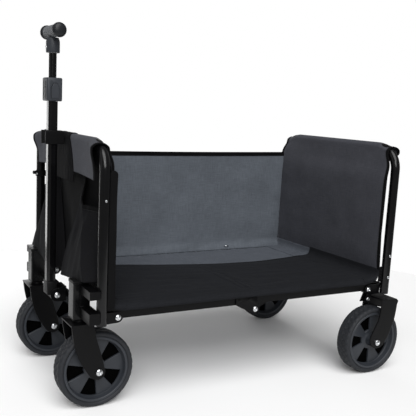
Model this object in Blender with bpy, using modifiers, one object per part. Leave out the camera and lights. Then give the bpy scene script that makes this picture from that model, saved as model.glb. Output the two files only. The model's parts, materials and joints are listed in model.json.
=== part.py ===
"""Folding utility wagon with a telescopic pull handle.

Metres, +Z up. +X runs from the handle end to the rear end, -Y is the near side.
The origin is on the ground under the middle of the wagon's bounding box.
"""
import math

import bmesh
import bpy
from mathutils import Matrix, Vector

# Driving dimensions, in metres
FRONT_POST_X = -0.3835
REAR_POST_X = 0.4215
POST_Y = 0.238
FRAME_TOP_Z = 0.594
BEND_R = 0.055
TUBE_R = 0.0115
POST_FOOT_Z = 0.2085

HINGE_Z = 0.221
HINGE_REACH = 0.357
MIDDLE_X = 0.0135
MIDDLE_PIN_Z = 0.204
RAIL_INNER_Y = 0.218
RAIL_OUTER_Y = 0.230
RAIL_BOTTOM_Z = 0.2175
RAIL_TOP_Z = 0.2400
PLATE = 0.003
GAP = 0.0003
PIN_R = 0.004
PIN_HOLE_R = 0.0046

PIN_HEAD_R = 0.0065
PIN_HEAD_H = 0.003
CROSSBAR_R = 0.008
FRONT_CROSSBAR_Z = 0.2185
REAR_CROSSBAR_Z = 0.2260
CROSS_TUBE_R = 0.007
CROSS_TUBE_Z = 0.2285
CROSS_TUBE_OFFSET = 0.075
BRACKET_NOSE_R = 0.012
GUSSET_FOOT_Z = 0.185
RAIL_OVERHANG = 0.010
RAIL_HEEL = 0.018
HINGE_NOSE_R = 0.0125
HINGE_PLATE_LENGTH = 0.055
RIVET_R = 0.0035
RIVET_Z = 0.229

WHEEL_R = 0.089
WHEEL_SIDES = 32
TYRE_HALF = 0.022
RIM_R = 0.0765
RIM_HALF = 0.020
WEB_R = 0.066
WEB_HALF = 0.007
WEB_SKIN_HALF = 0.0015
WINDOW_IN_R = 0.027
WINDOW_OUT_R = 0.063
WINDOW_IN_HALF = 0.0065
WINDOW_OUT_HALF = 0.0185
HUB_R = 0.0145
HUB_HALF = 0.0315
SPOKES = 5
FORK_HALF = 0.0355
FORK_WALL = 0.003
FORK_TOP = 0.004
FORK_TOP_Z = 0.2025
FORK_WAIST_DROP = 0.048
FORK_WAIST = 0.341
FORK_END_R = 0.0155
AXLE_R = 0.004
BOLT_HEAD_R = 0.0075
BOLT_HEAD_H = 0.0045
KINGPIN_R = 0.006
KINGPIN_TOP_Z = 0.262
BEARING_R = 0.015

CASTER_X = -0.410
CASTER_Y = 0.170
CASTER_TRAIL = 0.0365
HOUSING_BOTTOM_Z = 0.208
HOUSING_TOP_Z = 0.295
HOUSING_X = (-0.430, -0.3935)
HOUSING_HALF_Y = 0.018
HOUSING_BEVEL = 0.0015
HOUSING_BORE_R = 0.0067
HOUSING_BORE_TOP_Z = 0.268
ARM_LEVELS = ((0.2150, 0.2400), (0.2700, 0.2880))
ARM_X = (-0.416, -0.392)
REAR_WHEEL_X = 0.3735
REAR_WHEEL_Y = 0.2435

HANDLE_X = -0.426
HANDLE_PIVOT_X = -0.4145
HANDLE_PIVOT_Z = 0.220
HANDLE_TUBE = (0.022, 0.026)
HANDLE_TUBE_WALL = 0.0015
CHEEK_GAP_HALF = 0.018
CHEEK_NOSE_R = 0.016
KNUCKLE_R = 0.0153
FOOT_HALF_X = 0.0115
FOOT_TOP_Z = 0.2530
COLLAR_HALF = (0.018, 0.020)
COLLAR_Z = (0.6785, 0.7315)
BUTTON_HALF = 0.0095
BUTTON_Z = (0.684, 0.7085, 0.7185)
INNER_TUBE_R = 0.009
INNER_TUBE_Z = (0.330, 0.7864)
SOCKET_R = 0.016
SOCKET_H = 0.034
GRIP_Z = 0.835
GRIP_R = 0.0135
KNOB_R = 0.0165
GRIP_HALF = 0.0575
CLIP_H = 0.031
CLIP_Z = 0.596

WALL_T = 0.006
WALL_BOTTOM_Z = 0.262
WALL_HALF_Y = 0.2365
WRAP_HALF_Y = 0.180
FLAP_Z = 0.525
WRAP_R = 0.0148
FRONT_WALL_OFFSETS = (0.0150, 0.0240)
REAR_WALL_OFFSETS = (0.0200, 0.0275)
POCKET_Y = (0.045, 0.2250)
POCKET_Z = (0.300, 0.462)
POCKET_DEPTH = 0.036
FLOOR_HALF_Y = 0.2335
FLOOR_Z = 0.2403
FLOOR_T = 0.0045
FOLDED_T = 0.0045
FOLDED_FAR_Y = 0.055
SIDE_PANEL_Y = 0.221
SIDE_PANEL_T = 0.004
SIDE_PANEL_TOP_Z = 0.549
SIDE_PANEL_CLEAR = (0.0280, 0.0315)
BOARD_END_GAP = 0.012

SIDES = (("near", -1), ("far", 1))
MATERIALS = {
    "powder_coated_steel": ((0.012, 0.012, 0.013), 0.28, 0.6),
    "moulded_plastic": ((0.030, 0.033, 0.037), 0.5, 0.0),
    "tyre_rubber": ((0.018, 0.019, 0.020), 0.75, 0.0),
    "zinc_steel": ((0.70, 0.71, 0.72), 0.3, 1.0),
    "black_fabric": ((0.018, 0.018, 0.021), 0.9, 0.0),
    "grey_fabric": ((0.085, 0.092, 0.105), 0.9, 0.0),
}

for old in list(bpy.data.objects):
    bpy.data.objects.remove(old, do_unlink=True)
parts = bpy.data.collections.new("folding_wagon")
cutters = bpy.data.collections.new("cutters")
for group in (parts, cutters):
    bpy.context.scene.collection.children.link(group)


def make_material(name):
    colour, roughness, metallic = MATERIALS[name]
    material = bpy.data.materials.new(name)
    material.use_nodes = True
    shader = material.node_tree.nodes["Principled BSDF"]
    shader.inputs["Base Color"].default_value = (*colour, 1.0)
    shader.inputs["Roughness"].default_value = roughness
    shader.inputs["Metallic"].default_value = metallic
    return material


def finish(obj, name, material, pivot=None, smooth=False):
    """Name a part, give it its own material and hang it on its pivot."""
    obj.name = name
    obj.data.name = name
    obj.data.materials.clear()
    obj.data.materials.append(make_material(material))
    if smooth:
        obj.data.shade_smooth()
        obj.data.set_sharp_from_angle(angle=math.radians(40))
    if pivot is not None:
        bpy.context.view_layer.update()
        obj.parent = pivot
        obj.matrix_parent_inverse = pivot.matrix_world.inverted()
    return obj


def pivot_at(name, place, parent=None):
    """An empty on a joint's axis."""
    empty = bpy.data.objects.new(name, None)
    parts.objects.link(empty)
    empty.location = place
    bpy.context.view_layer.update()
    if parent is not None:
        empty.parent = parent
        empty.matrix_parent_inverse = parent.matrix_world.inverted()
        bpy.context.view_layer.update()
    return empty


def mesh_object(bm, place=(0, 0, 0), turn=(0, 0, 0)):
    mesh = bpy.data.meshes.new("piece")
    bm.to_mesh(mesh)
    bm.free()
    obj = bpy.data.objects.new("piece", mesh)
    parts.objects.link(obj)
    obj.location = place
    obj.rotation_euler = turn
    return obj


def box(low, high, bevel=0.0, segments=1):
    """A block between two corners, with optional rounded edges."""
    low, high = Vector(low), Vector(high)
    bm = bmesh.new()
    bmesh.ops.create_cube(bm, size=1.0)
    bmesh.ops.scale(bm, vec=high - low, verts=bm.verts)
    obj = mesh_object(bm, (low + high) / 2)
    if bevel:
        mod = obj.modifiers.new("edges", "BEVEL")
        mod.width = bevel
        mod.segments = segments
    return obj


def rod(start, end, radius, sides=12):
    """A solid round bar from start to end."""
    start, end = Vector(start), Vector(end)
    bm = bmesh.new()
    bmesh.ops.create_cone(bm, cap_ends=True, segments=sides, radius1=radius,
                          radius2=radius, depth=(end - start).length)
    turn = (end - start).to_track_quat("Z", "Y").to_euler()
    return mesh_object(bm, (start + end) / 2, turn)


def arc(centre, radius, start, end, steps):
    """Points along a circle, angles in degrees."""
    out = []
    for i in range(steps + 1):
        angle = math.radians(start + (end - start) * i / steps)
        out.append((centre[0] + radius * math.cos(angle), centre[1] + radius * math.sin(angle)))
    return out


def to_mesh(obj):
    """Turn a curve object into a welded mesh object in the same place."""
    bpy.context.view_layer.update()
    evaluated = obj.evaluated_get(bpy.context.evaluated_depsgraph_get())
    mesh = bpy.data.meshes.new_from_object(evaluated)
    bm = bmesh.new()
    bm.from_mesh(mesh)
    bmesh.ops.remove_doubles(bm, verts=bm.verts, dist=0.00002)
    bm.to_mesh(mesh)
    bm.free()
    solid = bpy.data.objects.new("piece", mesh)
    parts.objects.link(solid)
    solid.matrix_world = obj.matrix_world.copy()
    bpy.data.objects.remove(obj, do_unlink=True)
    return solid


def slab(loops, thickness, middle=0.0, plane="XZ"):
    """A flat outline, with any further loops as holes, extruded about its middle."""
    curve = bpy.data.curves.new("outline", "CURVE")
    curve.dimensions = "2D"
    curve.fill_mode = "BOTH"
    curve.extrude = thickness / 2
    for loop in loops:
        spline = curve.splines.new("POLY")
        spline.points.add(len(loop) - 1)
        for point, (u, v) in zip(spline.points, loop):
            point.co = (u, v, 0, 1)
        spline.use_cyclic_u = True
    obj = bpy.data.objects.new("outline", curve)
    parts.objects.link(obj)
    if plane == "XZ":
        obj.location = (0, middle, 0)
        obj.rotation_euler = (math.pi / 2, 0, 0)
    elif plane == "YZ":
        obj.location = (middle, 0, 0)
        obj.rotation_euler = (math.pi / 2, 0, math.pi / 2)
    else:
        obj.location = (0, 0, middle)
    return to_mesh(obj)


def combine(base, others, operation):
    """Apply exact Booleans on the base piece, then drop the other pieces."""
    for i, other in enumerate(others):
        mod = base.modifiers.new(f"join_{i}", "BOOLEAN")
        mod.operation = operation
        mod.solver = "EXACT"
        mod.object = other
    bpy.context.view_layer.update()
    evaluated = base.evaluated_get(bpy.context.evaluated_depsgraph_get())
    mesh = bpy.data.meshes.new_from_object(evaluated)
    base.modifiers.clear()
    base.data = mesh
    for other in others:
        bpy.data.objects.remove(other, do_unlink=True)
    return base


def pipe(points, radius, bevel_resolution=2):
    """A round tube along a smooth row of points."""
    curve = bpy.data.curves.new("pipe", "CURVE")
    curve.dimensions = "3D"
    curve.bevel_depth = radius
    curve.bevel_resolution = bevel_resolution
    curve.use_fill_caps = True
    spline = curve.splines.new("POLY")
    spline.points.add(len(points) - 1)
    for point, place in zip(spline.points, points):
        point.co = (*place, 1)
    obj = bpy.data.objects.new("pipe", curve)
    parts.objects.link(obj)
    return to_mesh(obj)


def turned(profile, sides, place, along_y=True):
    """A closed (radius, height) loop turned about its axis."""
    mesh = bpy.data.meshes.new("profile")
    count = len(profile)
    mesh.from_pydata([(r, 0, h) for r, h in profile], [(i, (i + 1) % count) for i in range(count)], [])
    obj = bpy.data.objects.new("turned", mesh)
    parts.objects.link(obj)
    mod = obj.modifiers.new("turn", "SCREW")
    mod.angle = math.tau
    mod.steps = sides
    mod.render_steps = sides
    mod.use_merge_vertices = True
    mod.merge_threshold = 0.00005
    mod.use_smooth_shade = False
    solid = combine(obj, [], "UNION")
    half_step = math.pi / sides
    solid.data.transform(Matrix.Rotation(half_step, 4, "Z"))
    if along_y:
        solid.data.transform(Matrix.Rotation(math.pi / 2, 4, "X"))
    solid.location = place
    return solid


# End frames
def frame_path(x):
    """The inverted U: up the near post, round two bends, down the far post."""
    top_y = POST_Y - BEND_R
    bend_z = FRAME_TOP_Z - BEND_R
    near = [(-y, z) for y, z in arc((top_y, bend_z), BEND_R, 0, 90, 6)]
    far = arc((top_y, bend_z), BEND_R, 90, 0, 6)
    outline = [(-POST_Y, POST_FOOT_Z), *near, *far, (POST_Y, POST_FOOT_Z)]
    return [(x, y, z) for y, z in outline]


def end_frame(name, x, pivot=None):
    return finish(pipe(frame_path(x), TUBE_R), name, "powder_coated_steel", pivot, smooth=True)


def crossbar(name, x, z, pivot=None):
    reach = POST_Y - TUBE_R - GAP
    return finish(rod((x, -reach, z), (x, reach, z), CROSSBAR_R), name, "powder_coated_steel", pivot, True)


def rail_bracket(name, post_x, pivot_x, side, pivot=None, gusset=False):
    """A U-shaped bracket from a post to the pin of a side rail."""
    toward = 1 if pivot_x > post_x else -1
    wall_x = post_x + toward * (TUBE_R + GAP)
    inner, outer = RAIL_INNER_Y - GAP, RAIL_OUTER_Y + GAP
    end_x = pivot_x + toward * 0.013
    channel = [
        (wall_x, side * (inner - PLATE)), (end_x, side * (inner - PLATE)),
        (end_x, side * inner), (wall_x + toward * 0.002, side * inner),
        (wall_x + toward * 0.002, side * outer), (end_x, side * outer),
        (end_x, side * (outer + PLATE)), (wall_x, side * (outer + PLATE)),
    ]
    bracket = slab([channel], 0.08, HINGE_Z, plane="XY")
    nose = [(pivot_x + toward * u, HINGE_Z + v) for u, v in arc((0, 0), BRACKET_NOSE_R, -90, 90, 6)]
    root_x, heel_z = wall_x - toward * 0.01, HINGE_Z - BRACKET_NOSE_R - 0.002
    outline = [(root_x, heel_z), *nose, (root_x, HINGE_Z + BRACKET_NOSE_R)]
    if gusset:
        tab_x = pivot_x - toward * 0.013
        tab = [(tab_x, GUSSET_FOOT_Z), (pivot_x + toward * 0.010, GUSSET_FOOT_Z)]
        outline = [outline[0], (tab_x, heel_z), *tab, *nose, outline[-1]]
    hole = arc((pivot_x, HINGE_Z), PIN_HOLE_R, 0, 330, 11)
    side_view = slab([outline, hole], 0.06, side * (RAIL_OUTER_Y + RAIL_INNER_Y) / 2)
    bracket = combine(bracket, [side_view], "INTERSECT")
    return finish(bracket, name, "powder_coated_steel", pivot)


def hinge_pin(name, x, z, side, pivot=None):
    """A headed pin across a rail and the plates on both sides of it."""
    inner = side * (RAIL_INNER_Y - GAP - PLATE - 0.001)
    outer = side * (RAIL_OUTER_Y + GAP + PLATE + 0.0002)
    shaft = rod((x, inner, z), (x, outer + side * 0.001, z), PIN_R)
    head = rod((x, outer, z), (x, outer + side * PIN_HEAD_H, z), PIN_HEAD_R)
    return finish(combine(shaft, [head], "UNION"), name, "zinc_steel", pivot)


# Wheels
def wheel(name, place, pivot, phase):
    """A moulded wheel: rim, long hub, and a web with five wedge pockets in each face."""
    outline = [
        (RIM_R, RIM_HALF), (RIM_R, -RIM_HALF), (WEB_R + 0.002, -RIM_HALF), (WEB_R, -WEB_HALF),
        (HUB_R + 0.0075, -WEB_HALF), (HUB_R, -HUB_HALF), (PIN_HOLE_R, -HUB_HALF), (PIN_HOLE_R, HUB_HALF),
        (HUB_R, HUB_HALF), (HUB_R + 0.0075, WEB_HALF), (WEB_R, WEB_HALF), (WEB_R + 0.002, RIM_HALF),
    ]
    body = turned(outline, WHEEL_SIDES, place)
    corners = [(WINDOW_IN_R, -WINDOW_IN_HALF), (WINDOW_OUT_R, -WINDOW_OUT_HALF), (WINDOW_OUT_R + 0.0015, 0.0),
               (WINDOW_OUT_R, WINDOW_OUT_HALF), (WINDOW_IN_R, WINDOW_IN_HALF)]
    depth = 2 * WEB_HALF
    windows = []
    for i in range(SPOKES):
        angle = phase + math.tau * i / SPOKES
        loop = [(place[0] + r * math.cos(angle) - t * math.sin(angle),
                 place[2] + r * math.sin(angle) + t * math.cos(angle)) for r, t in corners]
        for face in (-1, 1):
            windows.append(slab([loop], depth, place[1] + face * (WEB_SKIN_HALF + depth / 2)))
    return finish(combine(body, windows, "DIFFERENCE"), name, "moulded_plastic", pivot, smooth=True)


def tyre(name, place, pivot):
    tread_r = WHEEL_R / math.cos(math.pi / WHEEL_SIDES)
    seat_r = RIM_R + GAP
    outline = [
        (seat_r, TYRE_HALF - 0.003), (0.0845, TYRE_HALF), (tread_r - 0.0012, 0.0185), (tread_r, 0.013),
        (tread_r, -0.013), (tread_r - 0.0012, -0.0185), (0.0845, -TYRE_HALF), (seat_r, 0.003 - TYRE_HALF),
    ]
    return finish(turned(outline, WHEEL_SIDES, place), name, "tyre_rubber", pivot, smooth=True)


def axle_bolt(name, place, pivot):
    """A bolt through both fork plates, with its head on one end and its nut on the other."""
    x, y, z = place
    reach = FORK_HALF + GAP
    shaft = rod((x, y - reach - 0.002, z), (x, y + reach + 0.002, z), AXLE_R)
    ends = [rod((x, y + s * reach, z), (x, y + s * (reach + BOLT_HEAD_H), z), BOLT_HEAD_R) for s in (-1, 1)]
    return finish(combine(shaft, ends, "UNION"), name, "zinc_steel", pivot)


def fork(name, place, top_x, pivot, stem=None):
    """A bent-plate fork whose cheeks taper from the top plate down to the axle."""
    x, y, z = place
    low, high = top_x
    tip = arc((x, z), FORK_END_R, 195, 391, 7)
    waist_z = FORK_TOP_Z - FORK_WAIST_DROP
    left = (low + (x - FORK_END_R - low) * FORK_WAIST, waist_z)
    right = (high + (x + FORK_END_R - high) * FORK_WAIST, waist_z)
    outline = [(low, FORK_TOP_Z), left, *tip, right, (high, FORK_TOP_Z - 0.006), (high - 0.006, FORK_TOP_Z)]
    hole = arc((x, z), PIN_HOLE_R, 0, 330, 11)
    side_view = slab([outline, hole], 0.12, y)
    inner = FORK_HALF - FORK_WALL
    bottom = z - 0.03
    channel = [
        (y - FORK_HALF, bottom), (y - inner, bottom), (y - inner, FORK_TOP_Z - FORK_TOP),
        (y + inner, FORK_TOP_Z - FORK_TOP), (y + inner, bottom), (y + FORK_HALF, bottom),
        (y + FORK_HALF, FORK_TOP_Z + 0.01), (y - FORK_HALF, FORK_TOP_Z + 0.01),
    ]
    piece = combine(slab([channel], 0.2, x, plane="YZ"), [side_view], "INTERSECT")
    if stem is not None:
        kingpin = rod((*stem, FORK_TOP_Z - 0.002), (*stem, KINGPIN_TOP_Z), KINGPIN_R)
        bearing = rod((*stem, FORK_TOP_Z - 0.001), (*stem, HOUSING_BOTTOM_Z - 0.0005), BEARING_R, 16)
        piece = combine(piece, [kingpin, bearing], "UNION")
    return finish(piece, name, "powder_coated_steel", pivot)


def wheel_set(label, place, top_x, carrier, stem=None, phase=0.0):
    """One fork with its axle bolt, wheel and tyre."""
    fork(f"{label}_fork", place, top_x, carrier, stem)
    axle_bolt(f"{label}_axle_bolt", place, carrier)
    spin = pivot_at(f"{label}_spin", place, carrier)
    wheel(f"{label}_wheel", place, spin, phase)
    tyre(f"{label}_tyre", place, spin)


def caster_housing(side_name, side):
    """The block that holds a caster's kingpin, and the bracket that ties it to its post."""
    y = side * CASTER_Y
    block = box((HOUSING_X[0], y - HOUSING_HALF_Y, HOUSING_BOTTOM_Z),
                (HOUSING_X[1], y + HOUSING_HALF_Y, HOUSING_TOP_Z))
    bore = rod((CASTER_X, y, HOUSING_BOTTOM_Z - 0.01), (CASTER_X, y, HOUSING_BORE_TOP_Z), HOUSING_BORE_R, 16)
    edges = block.modifiers.new("edges", "BEVEL")
    edges.width = HOUSING_BEVEL
    edges.segments = 1
    block = combine(block, [bore], "DIFFERENCE")
    finish(block, f"caster_housing_{side_name}", "powder_coated_steel")

    near_y = y + side * (HOUSING_HALF_Y + GAP)
    far_y = side * (POST_Y + TUBE_R + PLATE)
    low_y, high_y = sorted((near_y, far_y))
    arms = [box((ARM_X[0], low_y, low_z), (ARM_X[1], high_y, high_z)) for low_z, high_z in ARM_LEVELS]
    spine_low, spine_high = sorted((near_y, near_y + side * PLATE))
    spine = box((ARM_X[0], spine_low, ARM_LEVELS[0][0]), (ARM_X[1] - 0.001, spine_high, ARM_LEVELS[1][1]))
    post_foot, post_top = (FRONT_POST_X, side * POST_Y, 0.20), (FRONT_POST_X, side * POST_Y, 0.30)
    post_space = rod(post_foot, post_top, TUBE_R + 0.0005, 24)
    lug = combine(arms[0], [arms[1], spine], "UNION")
    lug = combine(lug, [post_space], "DIFFERENCE")
    finish(lug, f"caster_bracket_{side_name}", "powder_coated_steel")


# Folding floor frame
def side_rail(name, start_x, end_x, pin_x, side, plate_outer, pivot):
    """Half of a side rail with the plate of the middle hinge riveted to its end."""
    hole = arc((pin_x, HINGE_Z), PIN_HOLE_R, 0, 330, 11)
    toward = 1 if end_x > start_x else -1
    outline = [
        (start_x, RAIL_TOP_Z), (start_x, HINGE_Z - 0.008), (start_x + toward * 0.004, HINGE_Z - 0.010),
        (start_x + toward * RAIL_HEEL, HINGE_Z - 0.010),
        (start_x + toward * (RAIL_HEEL + 0.006), RAIL_BOTTOM_Z),
        (end_x, RAIL_BOTTOM_Z), (end_x, RAIL_TOP_Z),
    ]
    middle_y = side * (RAIL_INNER_Y + RAIL_OUTER_Y) / 2
    rail = slab([outline, hole], RAIL_OUTER_Y - RAIL_INNER_Y, middle_y)

    face = RAIL_OUTER_Y + GAP if plate_outer else RAIL_INNER_Y - GAP - PLATE
    back = MIDDLE_X - toward * HINGE_PLATE_LENGTH
    nose = [(MIDDLE_X + toward * u, MIDDLE_PIN_Z + v) for u, v in arc((0, 0), HINGE_NOSE_R, -90, 60, 5)]
    plate_outline = [
        (back, RAIL_BOTTOM_Z + 0.001), (back + toward * 0.012, RAIL_BOTTOM_Z - 0.006), *nose,
        (MIDDLE_X + toward * 0.004, RAIL_TOP_Z - 0.002), (back, RAIL_TOP_Z - 0.002),
    ]
    pin_hole = arc((MIDDLE_X, MIDDLE_PIN_Z), PIN_HOLE_R, 0, 330, 11)
    plate = slab([plate_outline, pin_hole], PLATE, side * (face + PLATE / 2))
    rivets = []
    for reach in (0.018, 0.045):
        x = MIDDLE_X - toward * reach
        start = side * (RAIL_OUTER_Y - 0.003 if plate_outer else RAIL_INNER_Y + 0.003)
        end = side * (face + PLATE + 0.001 if plate_outer else face - 0.001)
        rivets.append(rod((x, start, RIVET_Z), (x, end, RIVET_Z), RIVET_R))
    return finish(combine(rail, [plate, *rivets], "UNION"), name, "powder_coated_steel", pivot)


def cross_tube(name, x, pivot):
    reach = RAIL_INNER_Y - GAP - PLATE - 0.0015
    tube = rod((x, -reach, CROSS_TUBE_Z), (x, reach, CROSS_TUBE_Z), CROSS_TUBE_R)
    return finish(tube, name, "powder_coated_steel", pivot, smooth=True)


# Fabric panels
def wall_outline(bar_x, inward, with_wrap):
    """The wall hangs inboard of its frame, and its top is wrapped over the bar."""
    half = WALL_T / 2
    bottom, belly = FRONT_WALL_OFFSETS if inward > 0 else REAR_WALL_OFFSETS
    shoulder = (WRAP_R + 0.004, 0.560)
    line = [(bottom, WALL_BOTTOM_Z), (belly, 0.360), (belly, 0.510), shoulder]
    if with_wrap:
        line = [(belly, 0.505), shoulder, (WRAP_R, FRAME_TOP_Z - 0.004)]
        line += arc((0, FRAME_TOP_Z), WRAP_R, 15, 165, 5)
        line += [(-WRAP_R, FRAME_TOP_Z - 0.004), (-WRAP_R, FLAP_Z)]
        half -= 0.0002
    left, right = [], []
    for i, point in enumerate(line):
        before, after = line[max(i - 1, 0)], line[min(i + 1, len(line) - 1)]
        along = Vector((after[0] - before[0], after[1] - before[1])).normalized()
        left.append((point[0] - along.y * half, point[1] + along.x * half))
        right.append((point[0] + along.y * half, point[1] - along.x * half))
    return [(bar_x + inward * u, v) for u, v in left + right[::-1]]


def end_wall(name, bar_x, inward, pivot=None):
    curtain = slab([wall_outline(bar_x, inward, False)], 2 * WALL_HALF_Y)
    wrap = slab([wall_outline(bar_x, inward, True)], 2 * WRAP_HALF_Y)
    return finish(combine(curtain, [wrap], "UNION"), name, "black_fabric", pivot)


def pocket(name, low_y, high_y):
    """A pocket that stands away from the front wall toward its lower edge."""
    back = FRONT_POST_X + 0.0090
    bottom, top = POCKET_Z
    face = back - POCKET_DEPTH
    outline = [(back, bottom), (face, bottom + 0.002), (face + 0.004, bottom + 0.045),
               (back - 0.006, top), (back, top)]
    return finish(slab([outline], high_y - low_y, (low_y + high_y) / 2), name, "black_fabric")


# Pull handle
def rounded_rectangle(centre, size, radius, steps=3):
    cx, cy = centre
    half_x, half_y = size[0] / 2 - radius, size[1] / 2 - radius
    loop = []
    for sx, sy, start in ((1, 1, 0), (-1, 1, 90), (-1, -1, 180), (1, -1, 270)):
        loop += arc((cx + sx * half_x, cy + sy * half_y), radius, start, start + 90, steps)
    return loop


def handle(tilt, slide, press):
    """The handle's fixed bracket and clip, its tilting tube, and its telescopic grip."""
    width, cheek = CHEEK_GAP_HALF, PLATE
    back_x = FRONT_POST_X - 0.008 - GAP
    px, pz = HANDLE_PIVOT_X, HANDLE_PIVOT_Z
    channel = [
        (back_x, -width - GAP - cheek), (back_x, width + GAP + cheek), (px - 0.03, width + GAP + cheek),
        (px - 0.03, width + GAP), (back_x - 0.005, width + GAP), (back_x - 0.005, -width - GAP),
        (px - 0.03, -width - GAP), (px - 0.03, -width - GAP - cheek),
    ]
    nose = arc((px, pz), CHEEK_NOSE_R, 90, 270, 6)
    cheeks = slab([[(back_x + 0.01, pz - CHEEK_NOSE_R), (back_x + 0.01, pz + 0.022), *nose],
                   arc((px, pz), PIN_HOLE_R, 0, 330, 11)], 0.08)
    bracket = combine(slab([channel], 0.1, pz, plane="XY"), [cheeks], "INTERSECT")
    finish(bracket, "handle_bracket", "powder_coated_steel")
    reach = width + GAP + cheek + 0.0002
    pin = rod((px, -reach - 0.001, pz), (px, reach + 0.001, pz), PIN_R)
    heads = [rod((px, s * reach, pz), (px, s * (reach + PIN_HEAD_H), pz), PIN_HEAD_R + 0.0003)
             for s in (-1, 1)]
    finish(combine(pin, heads, "UNION"), "handle_pivot_bolt", "zinc_steel")

    body = box((HANDLE_X - FOOT_HALF_X, -width, pz), (HANDLE_X + FOOT_HALF_X, width, FOOT_TOP_Z), 0.0025, 2)
    knuckle = rod((px, -width + 0.0004, pz), (px, width - 0.0004, pz), KNUCKLE_R, 24)
    bore = rod((px, -0.03, pz), (px, 0.03, pz), PIN_HOLE_R)
    foot = combine(combine(body, [knuckle], "UNION"), [bore], "DIFFERENCE")
    finish(foot, "handle_foot", "moulded_plastic", tilt)

    outer = rounded_rectangle((HANDLE_X, 0), HANDLE_TUBE, 0.006)
    inside = [size - 2 * HANDLE_TUBE_WALL for size in HANDLE_TUBE]
    hollow = rounded_rectangle((HANDLE_X, 0), inside, 0.0045)
    low_z, high_z = FOOT_TOP_Z + GAP, COLLAR_Z[0] - GAP
    tube = slab([outer, hollow], high_z - low_z, (low_z + high_z) / 2, plane="XY")
    finish(tube, "handle_outer_tube", "powder_coated_steel", tilt, smooth=True)

    half_x, half_y = COLLAR_HALF
    collar = box((HANDLE_X - half_x, -half_y, COLLAR_Z[0]), (HANDLE_X + half_x, half_y, COLLAR_Z[1]),
                 0.003, 2)
    bore_low, bore_high = (HANDLE_X, 0, COLLAR_Z[0] - 0.01), (HANDLE_X, 0, COLLAR_Z[1] + 0.01)
    bore = rod(bore_low, bore_high, INNER_TUBE_R + 0.0006, 24)
    button_x = HANDLE_X + 0.001

    def house(grow):
        half, low, eave, top = BUTTON_HALF + grow, BUTTON_Z[0] - grow, BUTTON_Z[1], BUTTON_Z[2] + grow
        return [(button_x - half, low), (button_x + half, low), (button_x + half, eave),
                (button_x + 0.004, top), (button_x - 0.004, top), (button_x - half, eave)]

    recess = slab([house(0.0005)], 0.010, 0.0025 - half_y)
    finish(combine(collar, [bore, recess], "DIFFERENCE"), "lock_collar", "moulded_plastic", tilt)
    button = slab([house(0.0)], 0.0050, 0.0010 - half_y)
    finish(button, "lock_button", "moulded_plastic", press)

    inner = rod((HANDLE_X, 0, INNER_TUBE_Z[0]), (HANDLE_X, 0, INNER_TUBE_Z[1]), INNER_TUBE_R, 16)
    finish(inner, "handle_inner_tube", "powder_coated_steel", slide, smooth=True)
    neck = [(SOCKET_R - 0.0015, SOCKET_H), (SOCKET_R, SOCKET_H - 0.008), (SOCKET_R, 0.002),
            (SOCKET_R - 0.0015, 0.0), (0.0001, 0.0), (0.0001, SOCKET_H)]
    socket = turned(neck, 20, (HANDLE_X, 0, INNER_TUBE_Z[1] + 0.0004), along_y=False)
    finish(socket, "grip_socket", "moulded_plastic", slide, smooth=True)
    knob = [(0.0001, GRIP_HALF), (0.010, GRIP_HALF - 0.0005), (KNOB_R - 0.0007, GRIP_HALF - 0.0055),
            (KNOB_R, GRIP_HALF - 0.0115), (0.0150, GRIP_HALF - 0.0165), (GRIP_R, GRIP_HALF - 0.0195)]
    grip = turned(knob + [(r, -h) for r, h in reversed(knob)], 20, (HANDLE_X, 0, GRIP_Z))
    finish(grip, "grip", "moulded_plastic", slide, smooth=True)

    half_tube = HANDLE_TUBE[1] / 2 + 0.0006
    back = FRONT_POST_X - WRAP_R - WALL_T / 2 - GAP
    clip_outline = [
        (back, -0.017), (back, 0.017), (HANDLE_X - 0.0205, 0.0195), (HANDLE_X - 0.0205, 0.015),
        (HANDLE_X - 0.0120, half_tube), (HANDLE_X + 0.0117, half_tube), (HANDLE_X + 0.0117, -half_tube),
        (HANDLE_X - 0.0120, -half_tube), (HANDLE_X - 0.0205, -0.015), (HANDLE_X - 0.0205, -0.0195),
    ]
    clip = slab([clip_outline], CLIP_H, CLIP_Z, plane="XY")
    finish(clip, "handle_clip", "moulded_plastic")


# Assembly
front_pin_x = MIDDLE_X - HINGE_REACH
rear_pin_x = MIDDLE_X + HINGE_REACH
front_fold = pivot_at("front_fold_axis", (front_pin_x, 0, HINGE_Z))
middle_fold = pivot_at("middle_fold_axis", (MIDDLE_X, 0, MIDDLE_PIN_Z), front_fold)
rear_fold = pivot_at("rear_fold_axis", (rear_pin_x, 0, HINGE_Z), middle_fold)
tilt_axis = pivot_at("handle_tilt_axis", (HANDLE_PIVOT_X, 0, HANDLE_PIVOT_Z))
slide_axis = pivot_at("handle_slide_axis", (HANDLE_X, 0, 0.5), tilt_axis)
press_axis = pivot_at("lock_button_axis", (HANDLE_X, -0.02, 0.70), tilt_axis)

end_frame("front_frame", FRONT_POST_X)
end_frame("rear_frame", REAR_POST_X, rear_fold)
crossbar("front_crossbar", FRONT_POST_X, FRONT_CROSSBAR_Z)
crossbar("rear_crossbar", REAR_POST_X, REAR_CROSSBAR_Z, rear_fold)
end_wall("front_wall", FRONT_POST_X, 1)
end_wall("rear_wall", REAR_POST_X, -1, rear_fold)
pocket("front_pocket_near", -POCKET_Y[1], -POCKET_Y[0])
pocket("front_pocket_far", *POCKET_Y)

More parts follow.
